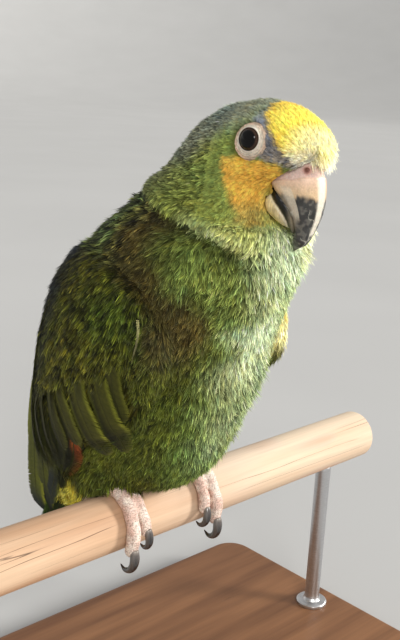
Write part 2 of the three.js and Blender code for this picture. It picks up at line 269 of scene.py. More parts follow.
# ---- Materials ----
class Nodes:
    """A short way to write a material's nodes."""

    def __init__(self, name, **constants):
        self.material = bpy.data.materials.new(name)
        self.material.use_nodes = True
        self.tree = self.material.node_tree
        self.shader = self.tree.nodes["Principled BSDF"]
        for key, value in constants.items():
            self.shader.inputs[key.replace("_", " ")].default_value = value

    def add(self, kind, inputs=(), **settings):
        node = self.tree.nodes.new("ShaderNode" + kind)
        for key, value in settings.items():
            setattr(node, key, value)
        for key, value in dict(inputs).items():
            self.put(node.inputs[key], value)
        return node

    def put(self, socket, value):
        if isinstance(value, bpy.types.NodeSocket):
            self.tree.links.new(value, socket)
        else:
            socket.default_value = value

    def set(self, socket, value):
        self.put(self.shader.inputs[socket], value)

    def stored(self, name, output="Fac"):
        """A number stored at each vertex."""
        return self.add("Attribute", attribute_name=name).outputs[output]

    def painted(self):
        """The colour stored at each vertex."""
        return self.stored("plumage", "Color")

    def noise(self, scale, detail=3, stretch=(1, 1, 1), rough=0.55):
        """Noise over the object's own coordinates, stretched."""
        coordinate = self.add("TexCoord").outputs["Object"]
        place = self.add("Mapping", {"Vector": coordinate, "Scale": stretch}).outputs["Vector"]
        made = {"Vector": place, "Scale": scale, "Detail": detail, "Roughness": rough}
        return self.add("TexNoise", made).outputs["Fac"]

    def ramp(self, value, *stops):
        """stops are (place, colour or grey)."""
        node = self.add("ValToRGB", {"Fac": value})
        ramp = node.color_ramp
        for i, (place, colour) in enumerate(stops):
            element = ramp.elements[i] if i < 2 else ramp.elements.new(place)
            element.position = place
            element.color = (*colour, 1) if isinstance(colour, tuple) else (colour, colour, colour, 1)
        return node.outputs["Color"]

    def math(self, operation, a, b):
        return self.add("Math", {0: a, 1: b}, operation=operation).outputs[0]

    def blend(self, a, b, fac=1.0, how="MULTIPLY"):
        node = self.add("Mix", data_type="RGBA", blend_type=how)
        self.put(node.inputs["Factor"], fac)
        for key, value in ((6, a), (7, b)):
            self.put(node.inputs[key], (*value, 1) if isinstance(value, tuple) else value)
        return node.outputs[2]

    def bump(self, height, depth, strength=0.5):
        """depth is in millimetres."""
        made = {"Height": height, "Distance": depth * MM, "Strength": strength}
        self.set("Normal", self.add("Bump", made).outputs["Normal"])

    def grained(self, grain, dark, light):
        """The painted colour under a fine grain from `dark` to `light`."""
        self.set("Base Color", self.blend(self.painted(), self.ramp(grain, (0.3, dark), (0.7, light))))


def bare_skin(name, soft, scale, dark, light, depth):
    """Skin without feathers: soft, with a fine grain in its colour and its bump."""
    m = Nodes(name, Roughness=0.55, Specular_IOR_Level=0.35, Subsurface_Weight=soft, Subsurface_Scale=0.8 * MM)
    fine = m.noise(scale, 3)
    m.grained(fine, dark, light)
    m.bump(fine, depth)
    return m


# ---- Stage, lights and camera ----
BOWL_RADIUS, BOWL_RISE, BOWL_STEPS, BOWL_COLS = 7.0, 5.0, 24, 96  # metres
FLOOR_RINGS = [0.05, 0.4, 1.0, 2.5, 4.5]
CAMERA_PLACE = placed((-251.6, -284.6, 190.3))
CAMERA_YAW, CAMERA_DIP, CAMERA_ROLL = 43.53, 15.11, 2.86  # degrees
CAMERA_LENS, CAMERA_SHIFT = 52.0, 0.0117


def make_stage():
    """A pale floor that rises smoothly behind the bird and runs off level on the lamps' side."""
    angle = np.linspace(0, math.pi / 2, BOWL_STEPS)
    reach = np.concatenate([FLOOR_RINGS, BOWL_RADIUS + BOWL_RISE * np.sin(angle)])
    rise = np.concatenate([0 * np.array(FLOOR_RINGS), BOWL_RISE * (1 - np.cos(angle))])
    turn = round_turn(BOWL_COLS)
    behind = step(-0.2, 0.6, 0.6 * np.cos(turn) + 0.8 * np.sin(turn))
    rings = [np.cos(turn) * reach[:, None], np.sin(turn) * reach[:, None], rise[:, None] * behind]
    verts = np.concatenate([np.stack(rings, -1).reshape(-1, 3), [[0, 0, 0]]])
    middle = cap(len(verts) - 1, np.arange(BOWL_COLS))
    floor = build("studio_floor", verts, grid_faces(len(reach), BOWL_COLS)[:, ::-1], middle)
    m = Nodes("studio_paper", Roughness=0.9, Specular_IOR_Level=0.1)
    m.set("Base Color", m.ramp(m.noise(3.0, 2), (0.3, (0.50, 0.50, 0.495)), (0.7, (0.52, 0.52, 0.515))))
    floor.data.materials.append(m.material)
    world = bpy.data.worlds.new("studio_air")
    world.use_nodes = True
    air = world.node_tree.nodes["Background"].inputs
    air["Color"].default_value, air["Strength"].default_value = (1.0, 0.99, 0.975, 1), 0.55
    bpy.context.scene.world = world


def make_camera():
    data = bpy.data.cameras.new("camera")
    data.lens, data.sensor_width, data.shift_x = CAMERA_LENS, 36.0, CAMERA_SHIFT
    data.clip_start, data.clip_end = 0.02, 50
    data.dof.use_dof = False
    camera = bpy.data.objects.new("camera", data)
    bpy.context.scene.collection.objects.link(camera)
    bpy.context.scene.camera = camera
    turned = Matrix.Translation(CAMERA_PLACE)
    for degrees, axis in ((-CAMERA_YAW, "Z"), (90 - CAMERA_DIP, "X"), (CAMERA_ROLL, "Z")):
        turned = turned @ Matrix.Rotation(math.radians(degrees), 4, axis)
    camera.matrix_world = turned


def lamp(name, towards, width, power, colour):
    """A broad soft light a long way off. towards points from the bird to it, and width is its angle in degrees."""
    data = bpy.data.lights.new(name, "SUN")
    data.angle, data.energy, data.color = math.radians(width), power, colour
    ob = bpy.data.objects.new(name, data)
    bpy.context.scene.collection.objects.link(ob)
    ob.rotation_euler = Vector(towards).to_track_quat("Z", "Y").to_euler()


# ---- Markings: one set of colours for the skin and for every feather ----
def srgb(red, green, blue):
    c = np.array([red, green, blue], float) / 255
    return np.where(c <= 0.04045, c / 12.92, ((c + 0.055) / 1.055) ** 2.4)


def inside(outline, y, z, blur):
    """1 inside an outline in the midplane, 0 outside it, over `blur` millimetres."""
    pts = np.asarray(outline, float)
    nearest = np.full(np.shape(y), 1e9)
    winding = np.zeros(np.shape(y), bool)
    for (y0, z0), (y1, z1) in zip(pts, np.roll(pts, -1, axis=0)):
        ey, ez = y1 - y0, z1 - z0
        t = np.clip(((y - y0) * ey + (z - z0) * ez) / (ey * ey + ez * ez), 0, 1)
        nearest = np.minimum(nearest, np.hypot(y - y0 - t * ey, z - z0 - t * ez))
        crosses = (z0 > z) != (z1 > z)
        winding ^= crosses & (y < y0 + (z - z0) / (ez if abs(ez) > 1e-9 else 1e-9) * ey)
    return step(-blur, blur, np.where(winding, nearest, -nearest))


FOREHEAD = [
    (-60.5, 184), (-62.6, 179), (-65.2, 175.4), (-68.6, 172.4), (-71.6, 168.6), (-73.4, 165.4), (-75.4, 163),
    (-77.0, 160.8), (-78.4, 157), (-92, 154), (-92, 190),
]
LORE = [
    (-60, 182), (-66, 176), (-72, 171), (-76, 166), (-79, 163), (-79, 159.4), (-74, 160.2), (-68, 162.4),
    (-64.6, 166), (-63, 171), (-61.6, 177),
]
CHEEK = [
    (-53.8, 162.5), (-57, 161.8), (-62, 161.4), (-67, 161.4), (-72.6, 160.2), (-72.6, 154.6), (-69, 153.5),
    (-65, 149.6), (-63.6, 145), (-64, 139), (-61.5, 138.6), (-58, 143), (-55.2, 149), (-53.2, 157),
]
CROWN = [(-64, 186), (-62, 173), (-52, 171), (-36, 160), (-18, 156), (-10, 170), (-30, 188)]
HOOD_LINE = [(-75, 128), (-62, 130.2), (-46.9, 137), (-31.4, 141.4), (-17.8, 144.4), (0, 148), (20, 150)]
SECTION = [  # z, then the middle of the body's y and half its depth
    (-25, 50, 8), (20, 17, 42), (60, 4, 48), (100, -10, 50), (130, -26, 44), (160, -46, 34), (180, -54, 16),
]
WING_FRONT = [  # z, then how far forward the right wing shows past the breast's feathers
    (-30, 60), (0, 40), (20, 8), (30, 0), (36, -5), (42, -10), (49, -17), (58, -24), (67, -28), (75, -30),
    (80, -33), (87, -36.5), (97, -36), (106, -33), (118, -24), (124, -10), (135, 10),
]
COVERT_END = [  # y, then z
    (-40, 66), (-27, 80), (-17, 75), (-10, 64), (-5, 59), (2, 53), (10, 50), (20, 50), (30, 48), (44, 50),
    (60, 66),
]

YELLOW_DEEP, YELLOW, YELLOW_PALE = srgb(250, 204, 76), srgb(254, 226, 88), srgb(252, 244, 186)
FLUFF, ORANGE, OCHRE = srgb(250, 248, 234), srgb(255, 196, 80), srgb(204, 178, 92)
LORE_BLUE, LORE_TAN = srgb(142, 144, 152), srgb(176, 166, 148)
CROWN_GREY, NAPE_GREY = srgb(138, 146, 128), srgb(116, 124, 86)
HOOD_GREEN, THROAT = srgb(154, 168, 82), srgb(212, 218, 124)
BREAST, UPPER_BREAST, BREAST_PALE_AND_LIT = srgb(122, 142, 62), srgb(138, 158, 76), srgb(226, 240, 190)
BELLY, VENT, UNDERTAIL, FLANK = srgb(108, 130, 56), srgb(82, 82, 22), srgb(238, 220, 74), srgb(90, 98, 30)
MANTLE, SHOULDER = srgb(62, 72, 36), srgb(90, 80, 38)
WING, WING_DARK, WING_GREEN = srgb(76, 76, 20), srgb(32, 33, 14), srgb(58, 84, 26)
SPECULUM, TIP_BLUE, EDGE_GREEN = srgb(236, 124, 50), srgb(24, 32, 44), srgb(158, 162, 50)


def hood_height(y, z):
    """How far a place is above the lower edge of the hood, in millimetres."""
    return z - lookup(HOOD_LINE, y)


def backness(y, z):
    """-1 on the breast's front and 1 on the middle of the back."""
    return (y - lookup(SECTION, z)) / lookup(SECTION, z, 2)


def wing_front(x, y, z):
    """How far a place is behind the front edge of what shows of the wing. The left wing shows further forward."""
    return y - lookup(WING_FRONT, z) + (x > 0) * mix(-5.0, 5.0, step(76, 84, z))


def plumage(p, wing):
    """The feathers' colour at places in millimetres. wing is 1 on a wing and 0 off it."""

    def noise(size, seed):
        return ripple(p, size, seed)[:, None]

    left, x = p[:, :1], np.abs(p[:, :1])
    y = p[:, 1:2] + 0.9 * noise(2.2, 1) + 0.6 * noise(5, 2)
    z = p[:, 2:] + 0.9 * noise(2.2, 3) + 0.6 * noise(5, 4)
    patch, broad, back = noise(7, 5), noise(19, 6), backness(y, z)
    front = step(-0.5, -0.8, back)

    # The breast's front, its flanks and the back.
    flank = step(-27, -9, wing_front(-x, y, z) + 4 * broad + 2.5 * patch) * step(128, 118, z) * step(10, 24, x)
    colour = mix(BREAST, SHOULDER, step(-0.62, -0.05, back + 0.12 * broad))
    colour = mix(colour, mix(SHOULDER, FLANK, step(100, 76, z)), flank)
    colour = mix(colour, MANTLE, step(0.0, 0.45, back + 0.15 * broad))
    belly = mix(BELLY, VENT, np.maximum(step(30, 12, z), step(-0.95, -0.72, back) * step(58, 30, z)))
    belly = mix(belly, FLANK, flank * 0.8)
    colour = mix(colour, mix(belly, colour, step(-0.3, 0.3, back)), step(75, 45, z))
    upper = step(110, 118, z + 3 * patch + 22 * step(26, 10, x) * front)
    colour = mix(colour, UPPER_BREAST, upper * step(-0.3, -0.6, back))
    colour = mix(colour, SHOULDER, 0.8 * bell(z - 96, 11) * step(-0.86, -0.68, back + 0.1 * patch))
    # Paler feathers on the breast's front, reaching further round on the bird's left: partly their own colour and
    # partly painted light on the lamps' side.
    off = np.maximum(-left, 0.5 * left)
    pale = step(20, -3, off + 6 * patch + 3 * broad + 4 * step(60, 35, z)) * front * step(24, 48, z)
    pale = pale * (0.42 + 0.55 * step(62, 94, z)) * (1 - 0.45 * step(96, 106, z) * step(124, 116, z))
    colour = mix(colour, BREAST_PALE_AND_LIT, 0.9 * pale * (1 - 0.8 * flank))
    vent = step(22, 8, z + 4 * patch) * step(8, 20, y)
    under = step(8, -6, z + 6 * patch) * step(2, 12, y)
    colour = mix(colour, UNDERTAIL, np.maximum(vent, under) * step(0.75, 0.3, back))

    # The hood, with a painted highlight on its feathers along its lower edge and a painted shadow under that edge.
    above = hood_height(y, z)
    hood = mix(HOOD_GREEN, NAPE_GREY, step(-0.1, 0.7, back))
    hood = mix(hood, THROAT, step(-0.5, -0.8, back) * step(150, 138, z))
    # The throat paler on its front and on the bird's left: partly its own colour and partly painted light.
    hood = mix(hood, BREAST_PALE_AND_LIT, 0.85 * step(-17, -4, left) * step(142, 134, z))
    beside = step(-0.95, -0.7, back)
    # Painted highlight: the hood's feathers just above its lower edge paler, as though catching the light.
    hood = mix(hood, BREAST_PALE_AND_LIT, 0.3 * step(7, 1, above) * step(-0.1, -0.4, back) * beside)
    shadow = step(-7, -0.5, above) * step(1.5, 0, above)
    colour = colour * (1 - 0.6 * shadow * step(0.45, 0.1, back) * beside)
    colour = mix(colour, hood, step(-1.0, 1.0, above) * step(112, 124, z))

    # The face.
    colour = mix(colour, CROWN_GREY, inside(CROWN, y, z, 5))
    lore = mix(LORE_BLUE, LORE_TAN, step(168, 161, z) * step(-0.5, 0.6, noise(1.4, 7)))
    lore = mix(lore, CROWN_GREY, step(173, 177, z))
    colour = mix(colour, lore, inside(LORE, y, z, 1.2))
    colour = mix(colour, mix(ORANGE, OCHRE, step(152, 141, z + 2 * patch)), inside(CHEEK, y, z, 1.4))
    yellow = mix(YELLOW_DEEP, YELLOW, step(-66, -72, y - 0.5 * (z - 172)))
    yellow = mix(yellow, YELLOW_PALE, step(-73, -81, y))
    yellow = mix(yellow, FLUFF, step(168, 160, z) * step(-72, -77, y))
    colour = mix(colour, yellow, np.maximum(inside(FOREHEAD, y, z, 0.9), step(-76.5, -78, y) * step(154, 157, z)))

    # The wings, and the yellow bend of the left one.
    covert = mix(WING, WING_DARK, step(0.3, 0.75, back))
    bluish = step(0.35, 0.7, back) * step(0.0, 0.35, patch + 0.5 * broad) * step(50, 62, z)
    covert = mix(covert, TIP_BLUE, 0.75 * bluish)
    covert = mix(covert, WING_GREEN, 0.6 * np.exp(-(((y + 22) / 15) ** 2 + ((z - 101) / 13) ** 2)))
    colour = mix(colour, covert, wing[:, None])
    ragged = z + 2.5 * patch
    bend = step(-22, -33, y + 2 * patch) * step(108, 99, ragged) * step(77, 85, ragged) * step(28, 31, left)
    return mix(colour, mix(YELLOW, YELLOW_PALE, step(-34, -42, y)), bend)


# ---- Skin: one closed surface under the feathers, in place of the flesh nodes ----
FLESH = ["head", "neck", "trunk", "wing_left", "wing_right", "leg_left", "leg_right"]
FLESH_GROW, SKIN_VOXEL, SKIN_SMOOTHING = 0.35 * MM, 1.15 * MM, 6
FAR_FROM_WING, THICKEST = 4 * MM, 14 * MM
DEEPEST = 0.34  # of the flesh's thickness that the feathers may take up


def tree_from(ob):
    me = ob.data
    return BVHTree.FromPolygons([v.co for v in me.vertices], [tuple(f.vertices) for f in me.polygons])


def distances(tree, points, reach):
    """How far each point is from a surface, up to reach, in metres."""
    out = np.full(len(points), reach)
    for i, point in enumerate(points):
        hit = tree.find_nearest(Vector(point), reach)
        if hit[3] is not None:
            out[i] = hit[3]
    return out


def coat_depth(p, wing):
    """How deep the feathers lie over the skin, in millimetres."""
    y, z = p[:, 1], p[:, 2]
    deep = mix(3.0, 1.9, step(0.0, 0.5, backness(y, z)))
    deep = mix(deep, 2.2, step(-2, 4, hood_height(y, z)) * step(112, 124, z))
    deep = mix(deep, 1.3, step(-42, -62, y) * step(138, 146, z))  # the face
    return mix(deep, 1.5, wing)


def thickness(ob, co, no, most):
    """How thick the surface's solid is at each vertex, up to `most`, in metres."""
    tree = tree_from(ob)
    out = np.full(len(co), most)
    for i, (point, normal) in enumerate(zip(co, no)):
        hit = tree.ray_cast(Vector(point - normal * 0.05 * MM), Vector(-normal), most)
        if hit[0] is not None:
            out[i] = hit[3]
    return out


def make_skin():
    verts, tris = grown_nodes(FLESH, FLESH_GROW)
    skin = remeshed(build("skin", verts, tris=tris), SKIN_VOXEL, SKIN_SMOOTHING)
    co, no = coords(skin), normals(skin)
    near = np.minimum(*(distances(tree_from(NODES["wing_" + side]), co, FAR_FROM_WING) for side in SIDES)) / MM
    wing = step(1.6, 0.6, near)
    p = local(co)
    above = hood_height(p[:, 1], p[:, 2])
    crease = step(6, -10, p[:, 1]) * step(112, 122, p[:, 2]) * step(-67, -60, p[:, 1])
    sink = coat_depth(p, wing)
    sink = sink + crease * (2.8 * bell(np.minimum(above + 1.5, 0), 6.5) * step(1.5, -1.5, above))
    sink = sink - crease * 1.1 * bell(above - 3.0, 3.0)
    sink = np.minimum(sink, DEEPEST * thickness(skin, co, no, THICKEST) / MM)
    move_to(skin, co - no * sink[:, None] * MM)
    return skin, wing


skin, skin_wing = make_skin()
SKIN_CO, SKIN_NO, SKIN_TRI = coords(skin), normals(skin), triangles(skin)
SKIN_TREE = BVHTree.FromPolygons([tuple(c) for c in SKIN_CO], [tuple(t) for t in SKIN_TRI.tolist()])
SKIN_COLOUR = plumage(local(SKIN_CO), skin_wing)
paint(skin, SKIN_COLOUR * mix(0.5, 1.1, step(0.2, 0.6, SKIN_COLOUR.mean(1)))[:, None])


def on_skin(points):
    """The nearest places on the skin, with their smooth normals."""
    place, normal = np.empty_like(points), np.empty_like(points)
    for i, point in enumerate(points):
        hit, _, face, _ = SKIN_TREE.find_nearest(Vector(point))
        place[i] = hit
        normal[i] = SKIN_NO[SKIN_TRI[face]].mean(0)
    return place, unit(normal)


# ---- The lie of the coat ----
LIE = np.array([  # a place on the bird's left side, and the way its feathers point there
    (3, -81, 167, 0.15, 0.45, 0.9), (6, -74, 177, 0.1, 0.9, 0.5), (6, -58, 181, 0.05, 1, 0.1),
    (8, -40, 176, 0.0, 1, -0.3), (10, -22, 164, 0.0, 0.85, -0.55), (12, -6, 152, 0.0, 0.75, -0.65),
    (14, -72, 167, 0.3, 0.9, 0.5), (12, -77, 163, 0.4, 0.85, 0.1), (17, -62, 176, 0.1, 1, 0.3),
    (20, -52, 172, 0.0, 1, -0.1), (22, -46, 163, 0.0, 0.95, -0.35), (18, -64, 159, 0.3, 0.95, -0.15),
    (20, -55, 155, 0.1, 0.85, -0.5), (17, -60, 146, 0.2, 0.6, -0.8), (9, -66, 139, 0.25, 0.3, -0.9),
    (3, -70, 133, 0.1, 0.05, -1), (27, -36, 152, 0.0, 0.7, -0.7), (29, -44, 138, 0.05, 0.45, -0.9),
    (26, -18, 148, 0.0, 0.7, -0.7), (30, -52, 125, 0.1, 0.3, -0.95), (8, -69, 122, 0.15, 0.05, -1),
    (14, -60, 104, 0.2, 0.25, -1), (34, -42, 106, 0.0, 0.5, -0.87), (6, -50, 75, 0.12, 0.35, -0.95),
    (32, -30, 66, 0.0, 0.65, -0.8), (10, -36, 42, 0.05, 0.5, -0.9), (8, -16, 16, 0.05, 0.85, -0.6),
    (6, 12, 2, 0.0, 0.95, -0.35), (6, 36, -14, 0.0, 0.85, -0.5), (36, 0, 34, 0.0, 0.6, -0.8),
    (24, 6, 22, 0.0, 0.25, -0.97), (30, 20, 20, 0.0, 0.6, -0.8), (12, 8, 138, 0.1, 0.6, -0.8),
    (12, 34, 114, 0.0, 0.45, -0.9), (14, 52, 82, 0.0, 0.25, -0.97), (12, 62, 34, 0.0, 0.05, -1),
    (8, 66, -4, 0.0, -0.1, -1), (38, -14, 120, 0.0, 0.45, -0.9), (47, -14, 96, 0.0, 0.4, -0.92),
    (46, 20, 84, 0.0, 0.35, -0.94), (44, 6, 52, 0.0, 0.5, -0.87), (38, 36, 30, -0.1, 0.4, -0.9),
    (22, 56, 0, -0.2, 0.3, -0.93), (40, -36, 88, 0.1, 0.2, -0.97),
], float)
LIE_AT, LIE_WAY = LIE[:, :3], unit(LIE[:, 3:])
LIE_SOFT, LIE_FALL = 9, 2.2  # square millimetres, and how fast a place's say falls with the distance's square


def along_skin(way, normal):
    """The part of a direction that runs along the skin."""
    return unit(way - normal * (way * normal).sum(-1, keepdims=True))


def lie(p, normal):
    """Which way the feathers point at places in millimetres, along the skin."""
    q = mirrored(p)
    weight = 1 / (((q[:, None] - LIE_AT[None]) ** 2).sum(-1) + LIE_SOFT) ** LIE_FALL
    way = (weight[..., None] * LIE_WAY[None]).sum(1)
    way[:, :1] *= np.where(p[:, :1] < 0, -1.0, 1.0) * step(0, 6, q[:, :1])
    return along_skin(unit(way), normal)


# ---- Where the feathers' roots are ----
TRIES = 5  # random places for each root that finds room
PATH_STEPS = 2


def scatter(spacing, where, seed):
    """Evenly spread random places on the skin, `spacing` millimetres apart, on the faces where `where` is true."""
    rng = np.random.default_rng(seed)
    a, b, c = (SKIN_CO[SKIN_TRI[:, i]] for i in range(3))
    area = np.linalg.norm(np.cross(b - a, c - a), axis=1) / 2 / MM**2
    wanted = np.where(where, area / spacing**2, 0) * TRIES
    count = int(wanted.sum())
    face = rng.choice(len(area), count, p=wanted / wanted.sum())
    r1, r2 = np.sqrt(rng.random((count, 1))), rng.random((count, 1))
    weights = np.concatenate([1 - r1, r1 * (1 - r2), r1 * r2], 1)[..., None]
    place = (SKIN_CO[SKIN_TRI[face]] * weights).sum(1)
    normal = unit((SKIN_NO[SKIN_TRI[face]] * weights).sum(1))
    tree = KDTree(count)
    for i, point in enumerate(place):
        tree.insert(point, i)
    tree.balance()
    alive = np.ones(count, bool)
    kept = []
    for i in range(count):
        if alive[i]:
            kept.append(i)
            for _, j, _ in tree.find_range(place[i], spacing * MM):
                alive[j] = False
    return place[kept], normal[kept], face[kept]


def trace(place, normal, way, length):
    """Paths over the skin from each root: (feathers, PATH_STEPS + 1, 3) places and normals."""
    places, ups = [place], [normal]
    for _ in range(PATH_STEPS):
        spot, up = on_skin(places[-1] + way * (length / PATH_STEPS)[:, None])
        way = along_skin(way, up)
        places.append(spot)
        ups.append(up)
    return np.stack(places, 1), np.stack(ups, 1)


# ---- Feathers: fans of barbs along a path ----
BARB_ROWS = 2
BARB_FRAY, BARB_BLUNT, BARB_ROLL = 0.6, 0.55, 0.25
ROOT_LIFT = 0.05 * MM
PERCH_GAP = 0.35 * MM
BAKE_PATCH, BAKE_MARGIN = 0.003, 0.01  # of the bake map's side: what a feather takes, and what stays free
MIDLINE = np.array([  # y and z along the middle of the body, from the bill to below the tail
    (-86, 158), (-66, 166), (-46, 160), (-28, 136), (-14, 110), (0, 80), (12, 50), (26, 24), (44, 2), (58, -18),
    (72, -60),
], float)


def along_path(values, share):
    """Reads (feathers, steps + 1, 3) values at shares of the way, of shape (feathers, strips, rows)."""
    steps = values.shape[1] - 1
    x = np.clip(share, 0, 1) * steps
    i = np.minimum(x.astype(int), steps - 1)
    w = (x - i)[..., None]
    n = np.arange(len(values))[:, None, None]
    return values[n, i] * (1 - w) + values[n, i + 1] * w


def across_path(paths, ups, share):
    """Places on the paths at shares of the way, with the ways up and sideways there."""
    up, head = unit(along_path(ups, share)), unit(along_path(np.gradient(paths, axis=1), share))
    return along_path(paths, share), up, np.cross(up, head)


def strip(left, right, tip):
    """The vertices of thin strips that end in a point: two for each row, then the tip's one."""
    rows = left.shape[-2] - 1
    out = np.empty(left.shape[:-2] + (2 * rows + 1, left.shape[-1]))
    out[..., 0:-1:2, :], out[..., 1:-1:2, :] = left[..., :rows, :], right[..., :rows, :]
    out[..., -1, :] = tip[..., -1, :]
    return out


def pairs_of(values):
    """Row values given to both vertices of each row but the tip's one."""
    return strip(*[values[..., None]] * 3)[..., 0]


def fan(paths, ups, width, spec, rng, swell):
    """The vertices of every feather: (feathers, strips, 2 rows + 1, 3), with their shares along and across."""
    n, strips = len(paths), spec["strips"]

    def vary(amount, many=strips):
        return rng.normal(0, amount, (n, many, 1))

    across = ((np.arange(strips) + 0.5) / strips * 2 - 1)[None, :, None]
    across = across + vary(0.5 / strips) * BARB_FRAY
    down = np.linspace(0, 1, BARB_ROWS + 1)[None, None, :]
    reach = np.sqrt(np.clip(1 - BARB_BLUNT * across**2, 0.08, 1)) * (1 + vary(spec["ragged"]))
    share = down * np.clip(reach, 0.3, 1.12)
    mid, up, side = across_path(paths, ups, share)
    end = unit(paths[:, -1] - paths[:, -2])[:, None, None]
    length = np.linalg.norm(np.diff(paths, axis=1), axis=-1).sum(1)[:, None, None]
    mid = mid + end * np.clip(share - 1, 0, 1)[..., None] * length[..., None]
    half = (width / 2)[:, None, None]
    open_out = spec["narrow"] + (1 - spec["narrow"]) * step(0, 0.55, share)
    sway = vary(spec["sway"]) * share**2
    lateral = half * (across * open_out + sway + vary(spec["bend"], 1) * share**2)
    lift = spec["lift"] * rng.normal(1, spec["uneven"], (n, 1, 1)) * np.reshape(swell, (-1, 1, 1)) * MM
    rise = lift * share**0.7 + (vary(spec["tousle"]) * share**1.5) * lift
    rise = rise - half * 0.25 * across**2 * (0.3 + 0.7 * share) + ROOT_LIFT
    centre = mid + side * lateral[..., None] + up * rise[..., None]
    taper = np.interp(down, [0, 0.25, 0.65, 1], spec["taper"])
    thick = half / strips * spec["overlap"] * taper * (1 + vary(0.12))
    edge = (side + up * vary(BARB_ROLL)[..., None]) * thick[..., None]
    full = (n, strips, BARB_ROWS + 1)
    along, across = (pairs_of(np.broadcast_to(v, full)) for v in (share, across))
    return strip(centre - edge, centre + edge, centre), along, across


def strip_faces(count, rows):
    """Quads and the tip triangle of each of `count` strips."""
    size = 2 * rows + 1
    first = (np.arange(count) * size)[:, None, None]
    r = np.arange(rows - 1)[None, :, None] * 2
    quads = first + r + np.array([0, 1, 3, 2])[None, None]
    tris = first[:, 0] + np.array([size - 3, size - 2, size - 1])[None]
    return quads.reshape(-1, 4), tris


def clear_of_perch(verts):
    """Feathers that would go into the perch are laid on it."""
    off = verts - PERCH_MID
    radius = np.hypot(off[:, 1], off[:, 2])
    limit = PERCH_RADIUS + PERCH_GAP
    push = (radius < limit) & (np.abs(off[:, 0]) < PERCH_HIGH[0])
    scale = np.where(push, limit / np.maximum(radius, 1e-6), 1.0)
    verts[:, 1:] = PERCH_MID[1:] + off[:, 1:] * scale[:, None]
    return verts


def unwrapped(p):
    """A place on the skin's unwrap: the turn round the body's midline, and how far along it."""
    best = np.full(len(p), 1e9)
    share, out = np.zeros(len(p)), np.zeros(len(p))
    lengths = np.linalg.norm(np.diff(MIDLINE, axis=0), axis=1)
    starts = np.concatenate([[0], np.cumsum(lengths)])
    for i, length in enumerate(lengths):
        run = (MIDLINE[i + 1] - MIDLINE[i]) / length
        off = p[:, 1:] - MIDLINE[i]
        t = np.clip(off @ run, 0, length)
        gap = np.linalg.norm(off - t[:, None] * run, axis=1)
        nearer = gap < best
        best = np.where(nearer, gap, best)
        share = np.where(nearer, (starts[i] + t) / starts[-1], share)
        out = np.where(nearer, off @ np.array([run[1], -run[0]]), out)
    return np.stack([np.arctan2(p[:, 0], out) / (2 * math.pi) + 0.5, share], 1)


def feathers(name, slot, verts, colours, along, roots, across, spread, replaced=()):
    """A piece made of strips. In its OFBake map each feather is a small patch at its root's place."""
    quads, tris = strip_faces(verts.shape[0] * verts.shape[1], (verts.shape[2] - 1) // 2)
    ob = build(name, verts.reshape(-1, 3), quads, tris)
    paint(ob, colours.reshape(-1, 3))
    measure(ob, along.ravel(), "along")
    roots = unwrapped(roots)
    low, high = roots.min(0), roots.max(0)
    roots = BAKE_MARGIN + (1 - 2 * BAKE_MARGIN) * (roots - low) / np.maximum(high - low, 1e-6)
    spots = roots[:, None, None] + BAKE_PATCH * np.stack([across * 0.5, spread - 0.5], -1)
    loops = np.empty(len(ob.data.loops), np.int32)
    ob.data.loops.foreach_get("vertex_index", loops)
    layer = ob.data.uv_layers.new(name="OFBake")
    layer.data.foreach_set("uv", spots.reshape(-1, 2)[loops].astype(np.float32).ravel())
    return finish_piece(ob, FEATHER, slot, *replaced)


FULL = [  # place, size, and how much fuller
    ((3, -68, 126), 9, 1.0), ((10, -44, 72), 15, 0.7), ((3, -62, 112), 10, 0.5), ((16, -65, 130), 9, 0.9),
    ((15, -48, 66), 13, 0.8), ((17, -36, 47), 12, 0.8),
]


def fullness(p):
    """How much the feathers stand off the skin: more under the bill and low on the breast."""
    q = mirrored(p)
    return 1 + sum(more * np.exp(-((q - place) ** 2).sum(1) / size**2) for place, size, more in FULL)


def coat(name, slot, place, normal, wing, spec, seed):
    """Grows one piece of the coat from its roots."""
    rng = np.random.default_rng(seed)
    p = local(place)
    way = lie(p, normal)
    if "way" in spec:
        way = unit(np.broadcast_to(spec["way"], p.shape).astype(float))
    turn = np.radians(spec["swirl"] * ripple(p, 9, 11) + rng.normal(0, spec["stray"], len(p)))[:, None]
    way = way * np.cos(turn) + np.cross(normal, way) * np.sin(turn)
    size = spec["size"](p)
    length = spec["length"] * MM * size * np.clip(rng.normal(1, 0.14, len(p)), 0.6, 1.4)
    width = spec["width"] * MM * size * np.clip(rng.normal(1, 0.1, len(p)), 0.7, 1.3)
    if "way" in spec:  # straight on, past the skin's edge
        share = np.linspace(0, 1, PATH_STEPS + 1)[None, :, None]
        paths, ups = place[:, None] + (way * length[:, None])[:, None] * share, np.repeat(normal[:, None], 3, 1)
    else:
        paths, ups = trace(place, normal, way, length)
    verts, along, across = fan(paths, ups, width, spec, rng, fullness(p))
    colour = plumage(p, wing)
    light = step(0.2, 0.75, colour.mean(1))[:, None]
    tone = np.clip(rng.normal(0, 1, (len(p), 1)), -2, 1.4) * spec["vary"] * (1 - 0.6 * light)
    tone = np.exp(tone + 0.16 * ripple(p, 6, 21)[:, None])
    tone = tone * np.exp(0.3 * (1 - light) * ripple(p, 2.6, 23)[:, None])
    warm = rng.normal(0, spec["hue"], (len(p), 1)) + 0.10 * ripple(p, 11, 22)[:, None]
    colour = colour * tone * (1 + warm * np.array([1.0, 0.1, -1.0]))
    barb = np.exp(rng.normal(0, spec["streak"], (len(p), spec["strips"], 1, 1)))
    colours = np.broadcast_to(colour[:, None, None] * barb, verts.shape)
    clear_of_perch(verts.reshape(-1, 3))
    # Where each feather starts on the material's ramp of painted shade: lighter-coloured feathers start higher,
    # with lighter roots.
    low = spec["base"] + np.maximum(0.84 - spec["base"], 0) * 0.8 * light[..., None]
    feathers(name, slot, verts, colours, low + (spec["top"] - low) * along, p, across, along)


